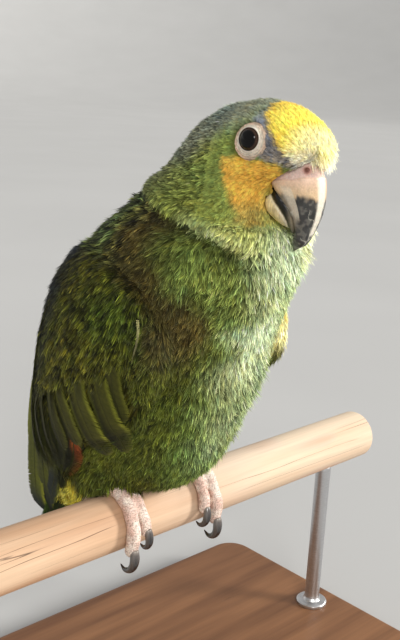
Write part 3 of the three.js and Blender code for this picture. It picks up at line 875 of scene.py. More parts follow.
def feather_material():
    m = Nodes("feather_barbs", Sheen_Weight=0.04, Sheen_Roughness=0.5, Specular_IOR_Level=0.12)
    along = m.stored("along")
    # Painted shade: each feather darker towards its root, where the feathers over it would shade it.
    shade = m.ramp(along, (0.0, 0.25), (0.6, 0.5), (0.8, 0.82), (1.0, 1.45))
    tip = m.math("MULTIPLY", m.ramp(along, (0.78, 0.0), (1.0, 1.0)), 0.10)
    grain = m.ramp(m.noise(900, 2), (0.25, 0.78), (0.75, 1.2))
    colour = m.blend(m.blend(m.painted(), shade), grain)
    m.set("Base Color", m.blend(colour, (0.56, 0.58, 0.40), tip, "MIX"))
    m.set("Roughness", m.ramp(m.noise(400, 2), (0.2, 0.58), (0.8, 0.8)))
    return m


def skin_material():
    m = Nodes("down_skin", Roughness=0.9, Specular_IOR_Level=0.1)
    fluff = m.noise(700, 4)
    m.set("Base Color", m.blend(m.painted(), m.ramp(fluff, (0.25, 0.5), (0.8, 0.95))))
    m.bump(fluff, 0.6, 0.6)
    return m


FEATHER = feather_material()
finish_piece(skin, skin_material(), "body_feathers", *FLESH)


# ---- Smooth lofts, the same way as the solids ----
def loft(ribs, rows, cols, keel=0.0, flat=1.0):
    """A closed loft through ribs of (y, z, y, z, half width): vertices in millimetres, faces, shares and turns."""
    ribs = np.asarray(ribs, float)
    share = np.broadcast_to(eased(rows)[:, None], (rows, cols))
    turn = np.broadcast_to(round_turn(cols), (rows, cols))
    along, across = np.cos(turn), np.sin(turn)
    across = np.where(along < 0, np.sign(across) * np.abs(across) ** flat, across)
    front, rear, width = curve(ribs[:, :2], share), curve(ribs[:, 2:4], share), curve(ribs[:, 4:], share)[..., 0]
    middle = (front + rear) / 2 + (rear - front) / 2 * along[..., None]
    p = np.stack([width * across * (1 + keel * along), middle[..., 0], middle[..., 1]], -1)
    return p.reshape(-1, 3), grid_faces(rows, cols), share.ravel(), turn.ravel()


def limb(points, radii, rows, cols, round_end):
    """A round limb along a curve, with rounded ends."""
    t = eased(rows)
    mid, size = curve(points, t), curve(np.asarray(radii, float)[:, None], t)[:, 0]
    run = unit(np.gradient(mid, axis=0))
    side = unit(np.array([1.0, 0, 0]) - run * run[:, :1])
    up = np.cross(run, side)
    size = size * np.sqrt(np.clip(1 - (1 - np.clip(np.minimum(t, 1 - t) / round_end, 0, 1)) ** 2, 0, 1))
    turn = round_turn(cols)[None, :, None]
    ring = side[:, None] * np.cos(turn) + up[:, None] * np.sin(turn)
    p = mid[:, None] + ring * size[:, None, None]
    return p.reshape(-1, 3), grid_faces(rows, cols)


def cells(p, size, seed):
    """Distance to the nearest and next nearest of scattered points, in shares of `size`."""
    q = p / size
    base = np.floor(q).astype(int)
    first, second = np.full(len(p), 9.0), np.full(len(p), 9.0)
    for shift in np.ndindex(3, 3, 3):
        cell = base + np.array(shift) - 1
        spot = np.stack([hashed(*cell.T, np.full(len(p), seed + k)) for k in range(3)], -1)
        gap = np.linalg.norm(q - (cell + 0.15 + 0.7 * spot), axis=1)
        second = np.minimum(second, np.maximum(first, gap))
        first = np.minimum(first, gap)
    return first, second


# ---- Bill ----
UPPER_RIBS = [
    (-66, 158, -66, 158, 0), (-64.5, 153, -70, 164, 8.4), (-66.2, 150, -76.4, 164, 9.4),
    (-68.4, 147.2, -80.4, 158.4, 8.8), (-70.9, 144.4, -81.8, 151.2, 7.5), (-73, 141.2, -81.2, 144.4, 6),
    (-73.2, 138, -79.4, 138.2, 4.4), (-71.9, 133.8, -76.3, 132.6, 2.8), (-70.7, 129.2, -70.7, 129.2, 0),
]
LOWER_RIBS = [
    (-60, 149, -60, 149, 0), (-63, 141.6, -63.6, 152, 8.8), (-67.2, 138.6, -67, 151, 9.4),
    (-71, 137.4, -70, 147.5, 8.2), (-73.6, 138.2, -72.5, 143.6, 5.4), (-74.6, 140.2, -74.6, 140.2, 0),
]
NOSTRIL = (4.7, -78.1, 159.2)
CERE_EDGE = [(-82, 156.6), (-79, 156.4), (-74, 155.6), (-70, 154.8), (-60, 153)]  # y, then z
HORN_TAN, HORN_PINK, HORN_HIGHLIGHT, HORN_CUT = (
    srgb(214, 184, 146), srgb(222, 188, 164), srgb(240, 232, 214), srgb(222, 208, 186))
HORN_DARK, HORN_FLECK, HORN_GREY, HORN_SCRATCH = (
    srgb(58, 57, 55), srgb(132, 128, 118), srgb(150, 138, 126), srgb(190, 186, 172))
CERE_PINK, CERE_RED, NOSTRIL_RED = srgb(214, 184, 172), srgb(188, 134, 122), srgb(118, 72, 60)
OCHRE_HORN, OCHRE_GREY, LIP_PALE, SLIT_SHADOW = (
    srgb(218, 196, 142), srgb(168, 156, 128), srgb(224, 214, 188), srgb(8, 6, 6))
BILL_REACH = 4 * MM


def horn_material():
    m = Nodes("bill_keratin", Specular_IOR_Level=0.45, Subsurface_Weight=0.08, Subsurface_Scale=1.2 * MM)
    m.grained(m.noise(1500, 3), 0.86, 1.1)
    m.set("Roughness", m.ramp(m.stored("soft"), (0.0, 0.36), (1.0, 0.62)))
    m.bump(m.noise(1.0, 4, (900, 900, 160)), 0.12)
    return m


def make_upper_bill():
    p, quads, share, turn = loft(UPPER_RIBS, 210, 180, keel=-0.3, flat=0.6)
    ob = build("bill_upper_horn", placed(p), quads)
    no = normals(ob)
    x, y, z = p.T
    along, across = np.cos(turn), np.abs(np.sin(turn))
    fore, rear = along > 0, along < 0
    cere = step(-0.3, 0.5, z - lookup(CERE_EDGE, y) + 0.5 * ripple(p, 3.0, 31))
    streaks = ripple_of(turn * 9, share * 9, 0, 32)
    growth = ripple_of(turn * 1.2, share * 60, 0, 33)
    flakes = ripple_of(x * 0.7 + y * 0.4, y * 0.9, z * 0.45, 34, 1.3)
    low = step(150, 143, z)
    lift = 0.45 * cere + 0.12 * cere * ripple(p, 1.6, 35) + 0.08 * cere * ripple(p, 0.6, 36)
    lift = lift + (1 - cere) * (0.07 * growth * (0.4 + low) + 0.06 * streaks + 0.10 * low * flakes)
    lift = lift + 0.25 * bell(np.sin(turn), 0.22) * fore * (1 - cere)  # the ridge
    hole = np.linalg.norm(mirrored(p) - NOSTRIL, axis=1)
    lift = lift + 0.35 * bell(hole - 1.45, 0.5) - 1.3 * step(1.25, 0.5, hole)
    p = p + no * lift[:, None]
    move_to(ob, placed(p))

    colour = mix(HORN_PINK, HORN_TAN, step(157, 150, z)[:, None])

    def over(tint, amount):
        return mix(colour, tint, amount[:, None])

    mottle = ripple(p, 1.5, 37)[:, None]
    colour = colour * (1 + 0.08 * mottle + 0.06 * streaks[:, None])
    edge = 149.8 + 0.12 * (y + 76) + 0.8 * ripple(p, 2.2, 38) + 0.8 * streaks
    dark = step(0.9, -0.9, z - edge)
    flecks = step(0.15, 0.6, ripple(p, 1.1, 46) + 0.5 * flakes)
    horn = HORN_DARK * (1 + 0.35 * mottle + 0.3 * growth[:, None])
    colour = over(mix(horn, HORN_FLECK, 0.45 * flecks[:, None]), dark)
    grey = HORN_GREY * (1 + 0.22 * mottle + 0.16 * flakes[:, None])
    colour = over(grey, step(0.0, -0.55, along) * step(152, 148, z) * step(137, 141, z) * 0.8)
    lines = np.abs(ripple_of(x * 0.8 + 2, y * 0.9 + z * 0.35, z * 0.5, 39, 2.0))
    scratch = step(0.085, 0.02, lines) * dark * step(0.0, 0.35, ripple(p, 3.5, 40) + 0.2)
    colour = over(HORN_SCRATCH, 0.75 * scratch)
    # Painted highlight: a pale band along the top of the ridge, except near the dark tip.
    ridge_highlight = step(0.46, 0.24, across) * fore
    colour = over(HORN_HIGHLIGHT, ridge_highlight * step(0.9, 0.5, dark * step(139, 134, z)) * 0.85)
    tomium = step(0.86, 0.97, across) * rear * step(154, 152, z) * step(140, 144, z)
    colour = over(HORN_CUT, 0.65 * tomium)
    colour = over(CERE_PINK * (1 + 0.07 * mottle + 0.05 * ripple(p, 0.7, 41)[:, None]), cere)
    colour = over(CERE_RED, 0.75 * step(2.3, 1.0, hole))
    paint(ob, over(NOSTRIL_RED, step(1.2, 0.7, hole)))
    measure(ob, cere, "soft")
    return finish_piece(ob, HORN, "bill_horn", "bill_upper")


def make_lower_bill(upper):
    p, quads, share, turn = loft(LOWER_RIBS, 120, 120)
    ob = build("bill_lower_horn", placed(p), quads)
    no = normals(ob)
    gap = distances(tree_from(upper), placed(p), BILL_REACH) / MM
    slit = step(2.3, 1.0, gap) * step(-75, -71, p[:, 1])
    growth = ripple_of(turn * 1.5, share * 40, 0, 43)
    p = p + no * (0.08 * growth + 0.06 * ripple(p, 1.2, 44) - 2.4 * slit)[:, None]
    move_to(ob, placed(p))
    y = p[:, 1:2]
    colour = mix(OCHRE_HORN, OCHRE_GREY, step(-68, -73, y))
    colour = colour * (1 + 0.2 * growth[:, None] + 0.3 * ripple(p, 1.3, 45)[:, None])
    colour = mix(colour, LIP_PALE, 0.55 * bell(gap - 2.7, 0.45)[:, None])
    # Painted shadow: near black in the slit, where the lower bill lies within about 2 mm of the upper, short of the
    # tip.
    paint(ob, mix(colour, SLIT_SHADOW, step(2.5, 2.0, gap)[:, None] * step(-76, -72, y)))
    measure(ob, np.zeros(len(p)), "soft")
    finish_piece(ob, HORN, "bill_horn", "bill_lower")


HORN = horn_material()
make_lower_bill(make_upper_bill())


# ---- Eyes and the bare ring round them ----
EYE_MID = {side: node_box("eye_" + side)[2] for side in SIDES}
EYE_RADIUS = (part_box("eye_left")[1].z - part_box("eye_left")[0].z) / 2
EYE_FORWARD, EYE_UP = 0.1, 0.9  # how far the ring's middle is from the CAD eye's, in millimetres
IRIS, PUPIL, EYE_RIM_SHADE = srgb(58, 42, 32), srgb(6, 5, 6), srgb(16, 13, 13)
LID_OPENING = 3.95  # the radius of what shows of the eye, in millimetres
RING_REACH = [  # degrees round the eye, then how wide the ring is
    (0, 3.2), (50, 2.5), (90, 2.1), (140, 2.1), (180, 2.4), (230, 3.0), (270, 3.7), (320, 3.9), (360, 3.2),
]
RING_PALE, RING_PINK, RING_LIP, RING_TUCK_SHADE = (
    srgb(208, 196, 178), srgb(196, 166, 142), srgb(224, 216, 204), srgb(30, 26, 26))
LID_ABOVE = 14  # where the rays that find the skin under the lid start, in millimetres


def eye_frame(side):
    """The middle of an eye, and its ways out, forwards and up."""
    sign = SIDES[side]
    out = unit(np.array([sign * 0.975, -0.20, 0.09]))
    fore = np.array([0.0, -1.0, 0.0])
    fore = unit(fore - out * (out @ fore))
    up = np.cross(fore, out) * sign
    up = up * np.sign(up[2])
    return EYE_MID[side] + (EYE_FORWARD * fore + EYE_UP * up) * MM, out, fore, up


def ring_reach(angle):
    return lookup(RING_REACH, np.degrees(angle) % 360)


def make_eye(side):
    middle, out, fore, up = eye_frame(side)
    rows, cols = 72, 96
    tilt = np.linspace(0.002, math.pi - 0.002, rows)[:, None]
    turn = round_turn(cols)[None]
    lateral, depth = np.sin(tilt) * EYE_RADIUS, np.cos(tilt) * EYE_RADIUS
    dome = 0.35 * MM * step(3.9 * MM, 2.6 * MM, lateral) * (depth > 0)
    p = middle + fore * (lateral * np.cos(turn))[..., None] + up * (lateral * np.sin(turn))[..., None]
    p = p + out * (depth + dome)[..., None]
    ob = build("eyeball_" + side, p.reshape(-1, 3), grid_faces(rows, cols))
    spread = np.where(depth > 0, lateral / MM, 9.0)
    rays = ripple_of(np.cos(turn) * 14, np.sin(turn) * 14, spread * 0.5, 51)
    colour = mix(PUPIL, IRIS * (1 + 0.35 * rays[..., None]), step(2.9, 3.3, spread)[..., None])
    # Painted shade: the eyeball near black round its edge, under the lid.
    colour = mix(colour, EYE_RIM_SHADE, step(4.1, 4.7, spread)[..., None])
    paint(ob, colour.reshape(-1, 3))
    m = Nodes("eye_wet_" + side, Roughness=0.05, Specular_IOR_Level=0.2)
    m.grained(m.noise(2500, 2), 0.8, 1.15)
    finish_piece(ob, m, "eye", "eye_" + side)


def skin_under(flat, out, q):
    """How high the skin lies over a grid of places in the eye's plane, in millimetres, with its holes filled."""
    rows, cols = flat.shape[:2]
    height = np.full((rows, cols), np.nan)
    for i, j in np.ndindex(rows, cols):
        if q[i, 0] >= 0.45:
            start = Vector(flat[i, j] + out * LID_ABOVE * MM)
            hit = SKIN_TREE.ray_cast(start, Vector(-out), 20 * MM)
            if hit[0] is not None:
                height[i, j] = LID_ABOVE - hit[3] / MM
    edge = np.nanmedian(height[-8:], axis=0)
    for j in range(cols):
        column = height[:, j]
        good = np.isfinite(column) & (column > edge[j] - 1.6)
        enough = good.sum() > 3
        height[:, j] = np.interp(np.arange(rows), np.flatnonzero(good), column[good]) if enough else edge[j]
    for _ in range(6):
        height = (height + np.roll(height, 1, 1) + np.roll(height, -1, 1)) / 3
    return height


def make_lid(side):
    middle, out, fore, up = eye_frame(side)
    rows, cols = 60, 150
    turn = round_turn(cols)[None]
    q = np.linspace(-0.12, 1.12, rows)[:, None]  # from inside the opening to past the ring's edge
    width = ring_reach(turn)
    lateral = LID_OPENING + width * q
    radius = EYE_RADIUS / MM
    ball = np.sqrt(np.maximum(radius**2 - np.minimum(lateral, radius - 0.2) ** 2, 0.02))
    spot = np.stack([lateral * np.cos(turn), lateral * np.sin(turn), 0 * lateral], -1)
    flat = middle + (fore * spot[..., :1] + up * spot[..., 1:2]) * MM
    margin = ball[rows // 10] + 0.2
    rise = mix(margin, skin_under(flat, out, q) + 0.25, np.clip(q / 0.9, 0, 1) ** 0.9)
    tuck = np.where(q < 0, -2.2 * (-q / 0.12) ** 2, 0) + np.where(q > 0.8, -1.5 * ((q - 0.8) / 0.3) ** 2, 0)
    wobble = 0.5 * ripple_of(np.cos(turn) * 5, np.sin(turn) * 5, q * 3, 52)
    folds = np.sin((q * width / 0.85 + wobble) * 2 * math.pi)
    grain = ripple(spot, 0.55, 53)
    rise = rise + tuck + 0.28 * bell(q - 0.07, 0.07) + (0.10 * folds + 0.12 * grain) * step(0.12, 0.3, q)
    rise = np.where((q > 0.05) & (lateral < radius - 0.1), np.maximum(rise, ball + 0.15), rise)
    p = flat + out * (rise * MM)[..., None]
    ob = build("eyelid_" + side, p.reshape(-1, 3), grid_faces(rows, cols)[:, :: -SIDES[side]])
    q = q[..., None]
    colour = mix(RING_PALE, RING_PINK, step(0.2, 0.9, q))
    colour = colour * (1 + 0.08 * folds + 0.2 * grain + 0.08 * ripple(spot, 2.4, 54))[..., None]
    colour = mix(colour, RING_LIP, 0.7 * bell(q - 0.12, 0.07))
    # Painted shade: the lid near black where it tucks in against the eyeball.
    colour = mix(colour, RING_TUCK_SHADE, step(0.05, -0.02, q))
    paint(ob, colour.reshape(-1, 3))
    finish_piece(ob, bare_skin("bare_skin_" + side, 0.1, 2600, 0.88, 1.08, 0.08), "head_feathers")


for side in SIDES:
    make_eye(side)
    make_lid(side)


# ---- The pieces of the coat ----
BARE_NODES = {node: tree_from(NODES[node]) for node in ("bill_upper", "bill_lower", "foot_left", "foot_right")}
CLEAR_REACH, CLEAR_GAP = 3 * MM, 0.9 * MM
FACE_MID = local(SKIN_CO[SKIN_TRI].mean(1))  # of the skin's triangles, as the next lines
FACE_X, FACE_Y, FACE_Z = FACE_MID.T
FACE_EDGE = step(-1.5, 1.5, wing_front(*FACE_MID.T) + 1.2 * ripple(FACE_MID, 4, 91))
FACE_WING = skin_wing[SKIN_TRI].mean(1) * FACE_EDGE
IS_HOOD = (hood_height(FACE_Y, FACE_Z) > 0) & (FACE_Z > 120)
IS_FACE = IS_HOOD & (FACE_Y < -46) & (FACE_Z > 138)
IS_WING = FACE_WING > 0.5
IS_COVERT = FACE_Z > lookup(COVERT_END, FACE_Y)
IS_BODY = ~IS_HOOD & ~IS_WING
IS_FRONT = IS_BODY & (backness(FACE_Y, FACE_Z) < 0.1)
IS_LOW = FACE_Z <= 62
CERE_MIDDLE, CERE_HALF = 1.4, 4.8
AT_CERE = IS_FACE & (np.abs(FACE_X - CERE_MIDDLE) < CERE_HALF) & (FACE_Y < -75) & (FACE_Z < 168)
AT_THIGH = IS_FRONT & (FACE_Z > 12) & (FACE_Z < 25) & (FACE_Y > -9) & (FACE_Y < 26) & (np.abs(FACE_X) > 12)
AT_THIGH = AT_THIGH & (SKIN_NO[SKIN_TRI].mean(1)[:, 2] > -0.8)

BARBS = dict(  # what a kind of feather has where it says nothing else; lengths are in millimetres
    swirl=10, sway=0.1, bend=0.12, tousle=0.15, uneven=0.18, hue=0.06, base=0.0, top=1.0, strips=6,
    taper=[0.45, 1, 0.85, 0.0], size=lambda q: 1.0,
)
FACE_SPEC = dict(
    BARBS, length=2.2, width=1.15, strips=4, lift=0.9, narrow=0.6, ragged=0.1, vary=0.26, streak=0.1, swirl=8,
    stray=8, base=0.56, top=0.94, overlap=1.05,
)
FLUFF_SPEC = dict(
    FACE_SPEC, length=4.2, width=1.7, strips=6, lift=1.5, ragged=0.3, sway=0.3, vary=0.05, base=0.8, top=1.0,
    way=(0, -0.36, -0.93), size=lambda q: 0.55 + 0.45 * step(0, 3, CERE_HALF - np.abs(q[:, 0] - CERE_MIDDLE)),
)
HOOD_SPEC = dict(
    BARBS, length=2.4, width=1.4, strips=4, lift=1.6, narrow=0.5, ragged=0.1, vary=0.48, streak=0.32, swirl=12,
    stray=14, overlap=1.0, base=0.2, hue=0.05,
)
BREAST_SPEC = dict(
    BARBS, length=4.2, width=2.1, lift=2.5, narrow=0.45, ragged=0.14, sway=0.18, bend=0.4, tousle=0.16, vary=0.44,
    streak=0.4, swirl=24, stray=15, overlap=0.95, base=0.05, uneven=0.12, hue=0.07, taper=[0.5, 1, 0.95, 0.0],
)
THIGH_SPEC = dict(BREAST_SPEC, length=8.0, width=3.4, lift=1.5, way=(0, 0.12, -1.0), swirl=14, stray=12)
MANTLE_SPEC = dict(
    BARBS, length=5.0, width=2.8, lift=1.9, narrow=0.4, ragged=0.14, sway=0.14, vary=1.0, top=1.12, streak=0.55,
    overlap=0.9, hue=0.1, stray=14, uneven=0.25,
)
COVERT_SPEC = dict(
    BARBS, length=4.6, width=2.6, lift=1.3, narrow=0.5, ragged=0.1, vary=0.75, streak=0.5, top=1.06, swirl=6,
    stray=8, overlap=0.9, hue=0.09, uneven=0.3, size=lambda q: 1 + 0.5 * step(104, 66, q[:, 2]),
)
UNDER_SPEC = dict(COVERT_SPEC, length=6.0, width=5.0, lift=0.1, overlap=1.2, vary=0.15)


def bare(p):
    """True inside the bare ring round each eye."""
    eye = local(EYE_MID["left"])
    fore, up = -(p[:, 1] - eye[1] + 0.5), p[:, 2] - eye[2] - EYE_UP
    reach = 4.0 + ring_reach(np.arctan2(up, fore)) * 0.86
    return (np.hypot(fore, up) < reach) & (np.abs(p[:, 0]) > 9)


def tract(name, slot, where, spacing, spec, seed, keep_clear=()):
    """A piece of the coat: feathers `spacing` millimetres apart where `where` is true."""
    place, normal, face = scatter(spacing, where, seed)
    ok = ~bare(local(place))
    for node in keep_clear:
        ok &= distances(BARE_NODES[node], place, CLEAR_REACH) > CLEAR_GAP
    coat(name, slot, place[ok], normal[ok], FACE_WING[face[ok]], spec, seed + 1000)


tract("coat_face", "head_feathers", IS_FACE, 0.58, FACE_SPEC, 1, ("bill_upper", "bill_lower"))
tract("coat_fluff", "head_feathers", AT_CERE, 0.55, FLUFF_SPEC, 12)
tract("coat_hood", "head_feathers", IS_HOOD & ~IS_FACE, 0.7, HOOD_SPEC, 2)
for number, side in enumerate(SIDES):
    where = (FACE_X > 0) == (side == "left")
    feet = ("foot_left", "foot_right")
    tract("coat_breast_" + side, "body_feathers", IS_FRONT & where & ~IS_LOW, 0.82, BREAST_SPEC, 3 + number)
    tract("coat_belly_" + side, "body_feathers", IS_FRONT & where & IS_LOW, 0.82, BREAST_SPEC, 5 + number, feet)
    tract("coat_wing_" + side, "wing_feathers", IS_WING & where & IS_COVERT, 1.15, COVERT_SPEC, 7 + number)
    tract("coat_wing_under_" + side, "wing_feathers", IS_WING & where & ~IS_COVERT, 3.0, UNDER_SPEC, 17 + number)
tract("coat_thigh", "body_feathers", AT_THIGH, 1.3, THIGH_SPEC, 10)
tract("coat_back", "body_feathers", IS_BODY & ~IS_FRONT, 1.25, MANTLE_SPEC, 9)


# ---- Vanes: long feathers with a shaft and barbs that leave it at a slant ----
VANE_ROWS, VANE_STEPS, SHAFT_PIECES = 4, 14, 14
BARB_GAP, BARB_LEAN, FEWEST_BARBS = 0.62 * MM, 0.35, 20
BARB_THICK = 0.85 * np.array([[1.0, 1.0, 0.9, 0.75, 0.0]])  # of the gap between barbs, in each row
BESIDE, UNDER_WING = 95, 20  # |x| well outside the wings, and of a place to look from where no wing is
ON_SHAFT = 9.0  # how far across the shaft's vertices say they are
VANE_SHADE = 0.82  # where on the feather material's ramp all of a vane is
VANE = dict(  # what a long feather has where it says nothing else; lengths are in millimetres
    camber=0.05, tilt=0.0, lift=0.4, rise=0.0, out=(0.0, 0.5), tip=0.16, neck=0.55, centre=0.4, blue=0.0,
    blue_from=(0.15, 0.5), orange=False, fade=None, stands=False,
)


def out_of_coat(share, spec):
    """How far a feather is off the skin, in millimetres: its root lies under the smaller feathers."""
    sunk = spec.get("sunk", spec["lift"])
    return mix(sunk, spec["lift"], step(*spec["out"], share)) + spec["rise"] * share


def vane_width(share, spec):
    """The outline of a feather: how much of its half width it has at shares of its length."""
    swell = spec["neck"] + (1 - spec["neck"]) * step(0.0, 0.45, share)
    near = np.clip((1 - share) / spec["tip"], 0, 1)
    return swell * np.sqrt(np.clip(1 - (1 - near) ** 2.2, 0, 1))


def vane(path, up, half, spec, rng):
    """One feather along a path: (strips, vertices, 3), with how far along and across it each vertex is."""
    length = np.linalg.norm(np.diff(path, axis=0), axis=1).sum()
    count = max(int(length / BARB_GAP), FEWEST_BARBS)
    slant = np.clip(half * 1.5 / length, 0.02, 0.4)
    q = np.linspace(0, 1, VANE_ROWS + 1)[None]
    root = (np.arange(count)[:, None] + 0.5) / count
    sets = []
    for sign in (-1.0, 1.0):
        clump = 0.5 * ripple_of(np.arange(count) / 9.0, sign * 7.3, rng.random() * 90)
        end = np.clip(slant + (1 - slant) * root + clump[:, None] * 0.012 + rng.normal(0, 0.003, (count, 1)), 0, 1)
        edge = half * vane_width(end, spec) * (1 + rng.normal(0, 0.015, (count, 1)))
        sets.append((root + (end - root) * q, sign * edge * q**0.92, sign * edge / half * q))
    share, across, relative = (np.concatenate(part) for part in zip(*sets))
    mid, normal, side = (v[0] for v in across_path(path[None], up[None], share[None]))
    rise = (out_of_coat(share, spec) - spec["camber"] * half / MM * (across / half) ** 2) * MM
    rise = rise + across * math.tan(math.radians(spec["tilt"])) + rng.normal(0, 0.02 * MM, share[:, :1].shape)
    centre = mid + side * across[..., None] + normal * rise[..., None]
    cross = unit(np.cross(normal, unit(np.gradient(centre, axis=1)))) * np.sign(relative[:, -1:, None])
    lean = (cross + normal * BARB_LEAN) * (length / count * BARB_THICK)[..., None]
    barbs = strip(centre - lean, centre + lean, centre)
    # The shaft: short overlapping lengths, raised above the barbs.
    down = np.arange(SHAFT_PIECES)[:, None] / SHAFT_PIECES * 0.96 + q * (1.35 / SHAFT_PIECES)
    down = np.minimum(down, 0.985)
    mid, normal, side = (v[0] for v in across_path(path[None], up[None], down[None]))
    centre = mid + normal * (out_of_coat(down, spec) + 0.16)[..., None] * MM
    thick = side * (0.055 * half * (1 - 0.75 * down) + 0.08 * MM)[..., None]
    shaft = strip(centre - thick, centre + thick, centre)
    along = pairs_of(np.concatenate([share, down]))
    across = np.concatenate([pairs_of(relative), np.full(shaft.shape[:2], ON_SHAFT)])
    return np.concatenate([barbs, shaft]), along, across


def vanes(name, slot, made, colour_of, *replaced):
    """A piece of (path, up, half width, spec) feathers, coloured by colour_of(places, along, across, spec)."""
    rng = np.random.default_rng(int(hashed(np.array([len(made)]), np.array([len(name)]))[0] * 1e6))
    parts = []
    for path, up, half, spec in made:
        v, along, across = vane(path, up, half, spec, rng)
        tone = np.exp(rng.normal(0, 0.1)) * np.exp(rng.normal(0, 0.07, (len(v), 1, 1)))
        parts.append((v, colour_of(v, along, across, spec) * tone))
    v, colours = (np.concatenate(part)[:, None] for part in zip(*parts))
    size = v.shape[:3]
    side = np.broadcast_to(np.resize([-1.0, 1.0], size[2]), size)
    spread = np.broadcast_to(np.linspace(0, 1, size[2]), size)
    feathers(name, slot, v, colours, np.full(size, VANE_SHADE), local(v[:, 0, 0]), side, spread, replaced)


def side_place(y, z, sign):
    """The skin's outermost place at a height and depth on one side."""
    hit = SKIN_TREE.ray_cast(Vector(placed((sign * BESIDE, y, z))), Vector((-sign, 0, 0)), BESIDE * MM)
    return np.array(hit[0]) if hit[0] is not None else on_skin(placed([(sign * UNDER_WING, y, z)]))[0][0]


def steered(start, goal, tip_out=None):
    """A path over the skin from one place towards another. tip_out sets its tip's |x|, in millimetres."""
    spot, up = on_skin(start[None])
    places, ups = [spot[0]], [up[0]]
    for left in range(VANE_STEPS, 0, -1):
        ahead = goal - places[-1]
        reach = np.linalg.norm(ahead) / left
        spot, up = on_skin((places[-1] + along_skin(unit(ahead), ups[-1]) * reach)[None])
        places.append(spot[0])
        ups.append(unit(ups[-1] * 0.45 + up[0] * 0.55))
    path = np.array(places)
    for _ in range(2):
        path[1:-1] = (path[:-2] + 2 * path[1:-1] + path[2:]) / 4
    if tip_out is not None:
        off = path[-1, 0] - PERCH_MID[0]
        path[:, 0] += (math.copysign(tip_out * MM, off) - off) * np.linspace(0, 1, len(path)) ** 2.5
    return path, np.array(ups)


# Each feather of a wing: where it leaves the skin and where its tip is (y, z, y, z), half its width, and for some
# how far out the tip is (|x|). Each lies a little over the one before it in its row.
GREATER_COVERTS = [
    (-19, 93, -22, 57, 4.6, 36.5), (-9, 93, -20, 42.5, 6.2, 32), (2, 88, -12.5, 39.5, 6.8, 35),
    (13, 78, -2, 42, 6.2, 42), (16, 78, 7, 37, 5.6, 42), (20, 76, 17, 29, 5.4, 39), (26, 74, 25, 22, 5.2, 36),
    (33, 74, 33, 16, 5.0, 33),
]
COVERT_RIMS = (0.5, 0.8, 0.9, 0.6, 0.35, 0.3, 0.25, 0.2)  # the long ones in front are the most plainly edged
SECONDARIES = [
    (-6, 62, 11, 22, 4.6, 38.5), (0, 62, 20, 13, 4.8, 36), (6, 62, 27, 7, 5.0, 32), (12, 62, 34, 2, 5.0),
    (18, 64, 40, -2, 5.0), (24, 68, 46, -5, 4.8), (30, 72, 50, -6, 4.6),
]
PRIMARIES = [
    (8, 52, 38, 2, 4.8, 28), (12, 54, 42, -4, 5.0, 25), (16, 56, 47, -10, 5.2, 22), (20, 58, 52, -16, 5.2, 19),
    (25, 60, 57, -21, 5.4, 16),
]
OUTER_PRIMARIES = [(28, 62, 60, -24, 5.4, 13), (33, 60, 62, -26, 5.4, 12)]
TERTIALS = [
    (20, 112, 38, 42, 5.6), (27, 108, 44, 32, 5.8), (34, 103, 49, 24, 5.8), (41, 97, 53, 16, 5.6),
    (48, 90, 57, 10, 5.2),
]
ORANGE_STRIP = [(3, 44), (0, 41), (-1, 37), (1, 31), (5, 24), (9, 19), (10, 23), (7, 28), (5, 34), (4, 40)]
PRIMARY = dict(VANE, tilt=2, rim=0.5, neck=0.8, stands=True)
WING_VANES = [
    (PRIMARIES, dict(PRIMARY, colour=srgb(92, 98, 24), blue=0.85, blue_from=(0.62, 0.86), tip=0.22)),
    (OUTER_PRIMARIES, dict(
        PRIMARY, colour=srgb(104, 108, 30), lift=0.7, blue=0.5, blue_from=(0.7, 0.9), centre=0.2)),
    (SECONDARIES, dict(
        VANE, colour=srgb(88, 92, 16), lift=0.6, blue=0.35, tilt=2, orange=True, rim=0.45, neck=0.8)),
    (TERTIALS, dict(
        VANE, colour=srgb(76, 80, 20), lift=0.9, blue=0.35, tilt=2, rim=0.4, camber=0.06, sunk=-0.5, neck=0.9)),
    (GREATER_COVERTS, dict(
        VANE, colour=srgb(92, 92, 14), lift=1.2, blue=0.15, tilt=7, camber=0.09, sunk=-1.2, neck=0.9, tip=0.2,
        centre=0.8, out=(0.2, 0.5))),
]
PALE_EDGE = dict(
    VANE, colour=srgb(206, 200, 136), rim=0.0, front=1, lift=1.4, tip=0.5, neck=0.2, camber=0.0, fade=0.3)


def wing_colour(v, along, across, spec):
    """A wing feather's colours: the front edge is green, and the vane behind the shaft darker, a painted shadow of
    the feather that lies over it.
    """
    p, base, a = local(v), spec["colour"], along[..., None]
    edge, ahead = np.clip(np.abs(across), 0, 1)[..., None], (across * spec["front"])[..., None]
    side = np.where(ahead > 0, 1.0, 0.35)
    # Painted shade: each vane darker towards its rear edge, where the next feather lies over it.
    colour = base * (1 - spec["centre"] * step(0.35, -0.6, ahead) * step(0.1, 0.5, a))
    colour = mix(colour, EDGE_GREEN, spec["rim"] * step(0.5, 0.85, edge) * side)
    colour = mix(colour, EDGE_GREEN, 0.5 * spec["rim"] * step(0.95, 1.0, a) * step(-0.4, 0.4, ahead))
    colour = mix(colour, TIP_BLUE, spec["blue"] * step(0.85, 0.3, edge * side) * step(*spec["blue_from"], a))
    if spec["orange"]:
        colour = mix(colour, SPECULUM, inside(ORANGE_STRIP, p[..., 1:2], p[..., 2:], 1.2))
    if spec["fade"]:
        colour = mix(colour, base * spec["fade"], step(0.3, 0.6, a))
    return np.where(across[..., None] == ON_SHAFT, base * 0.35, colour)


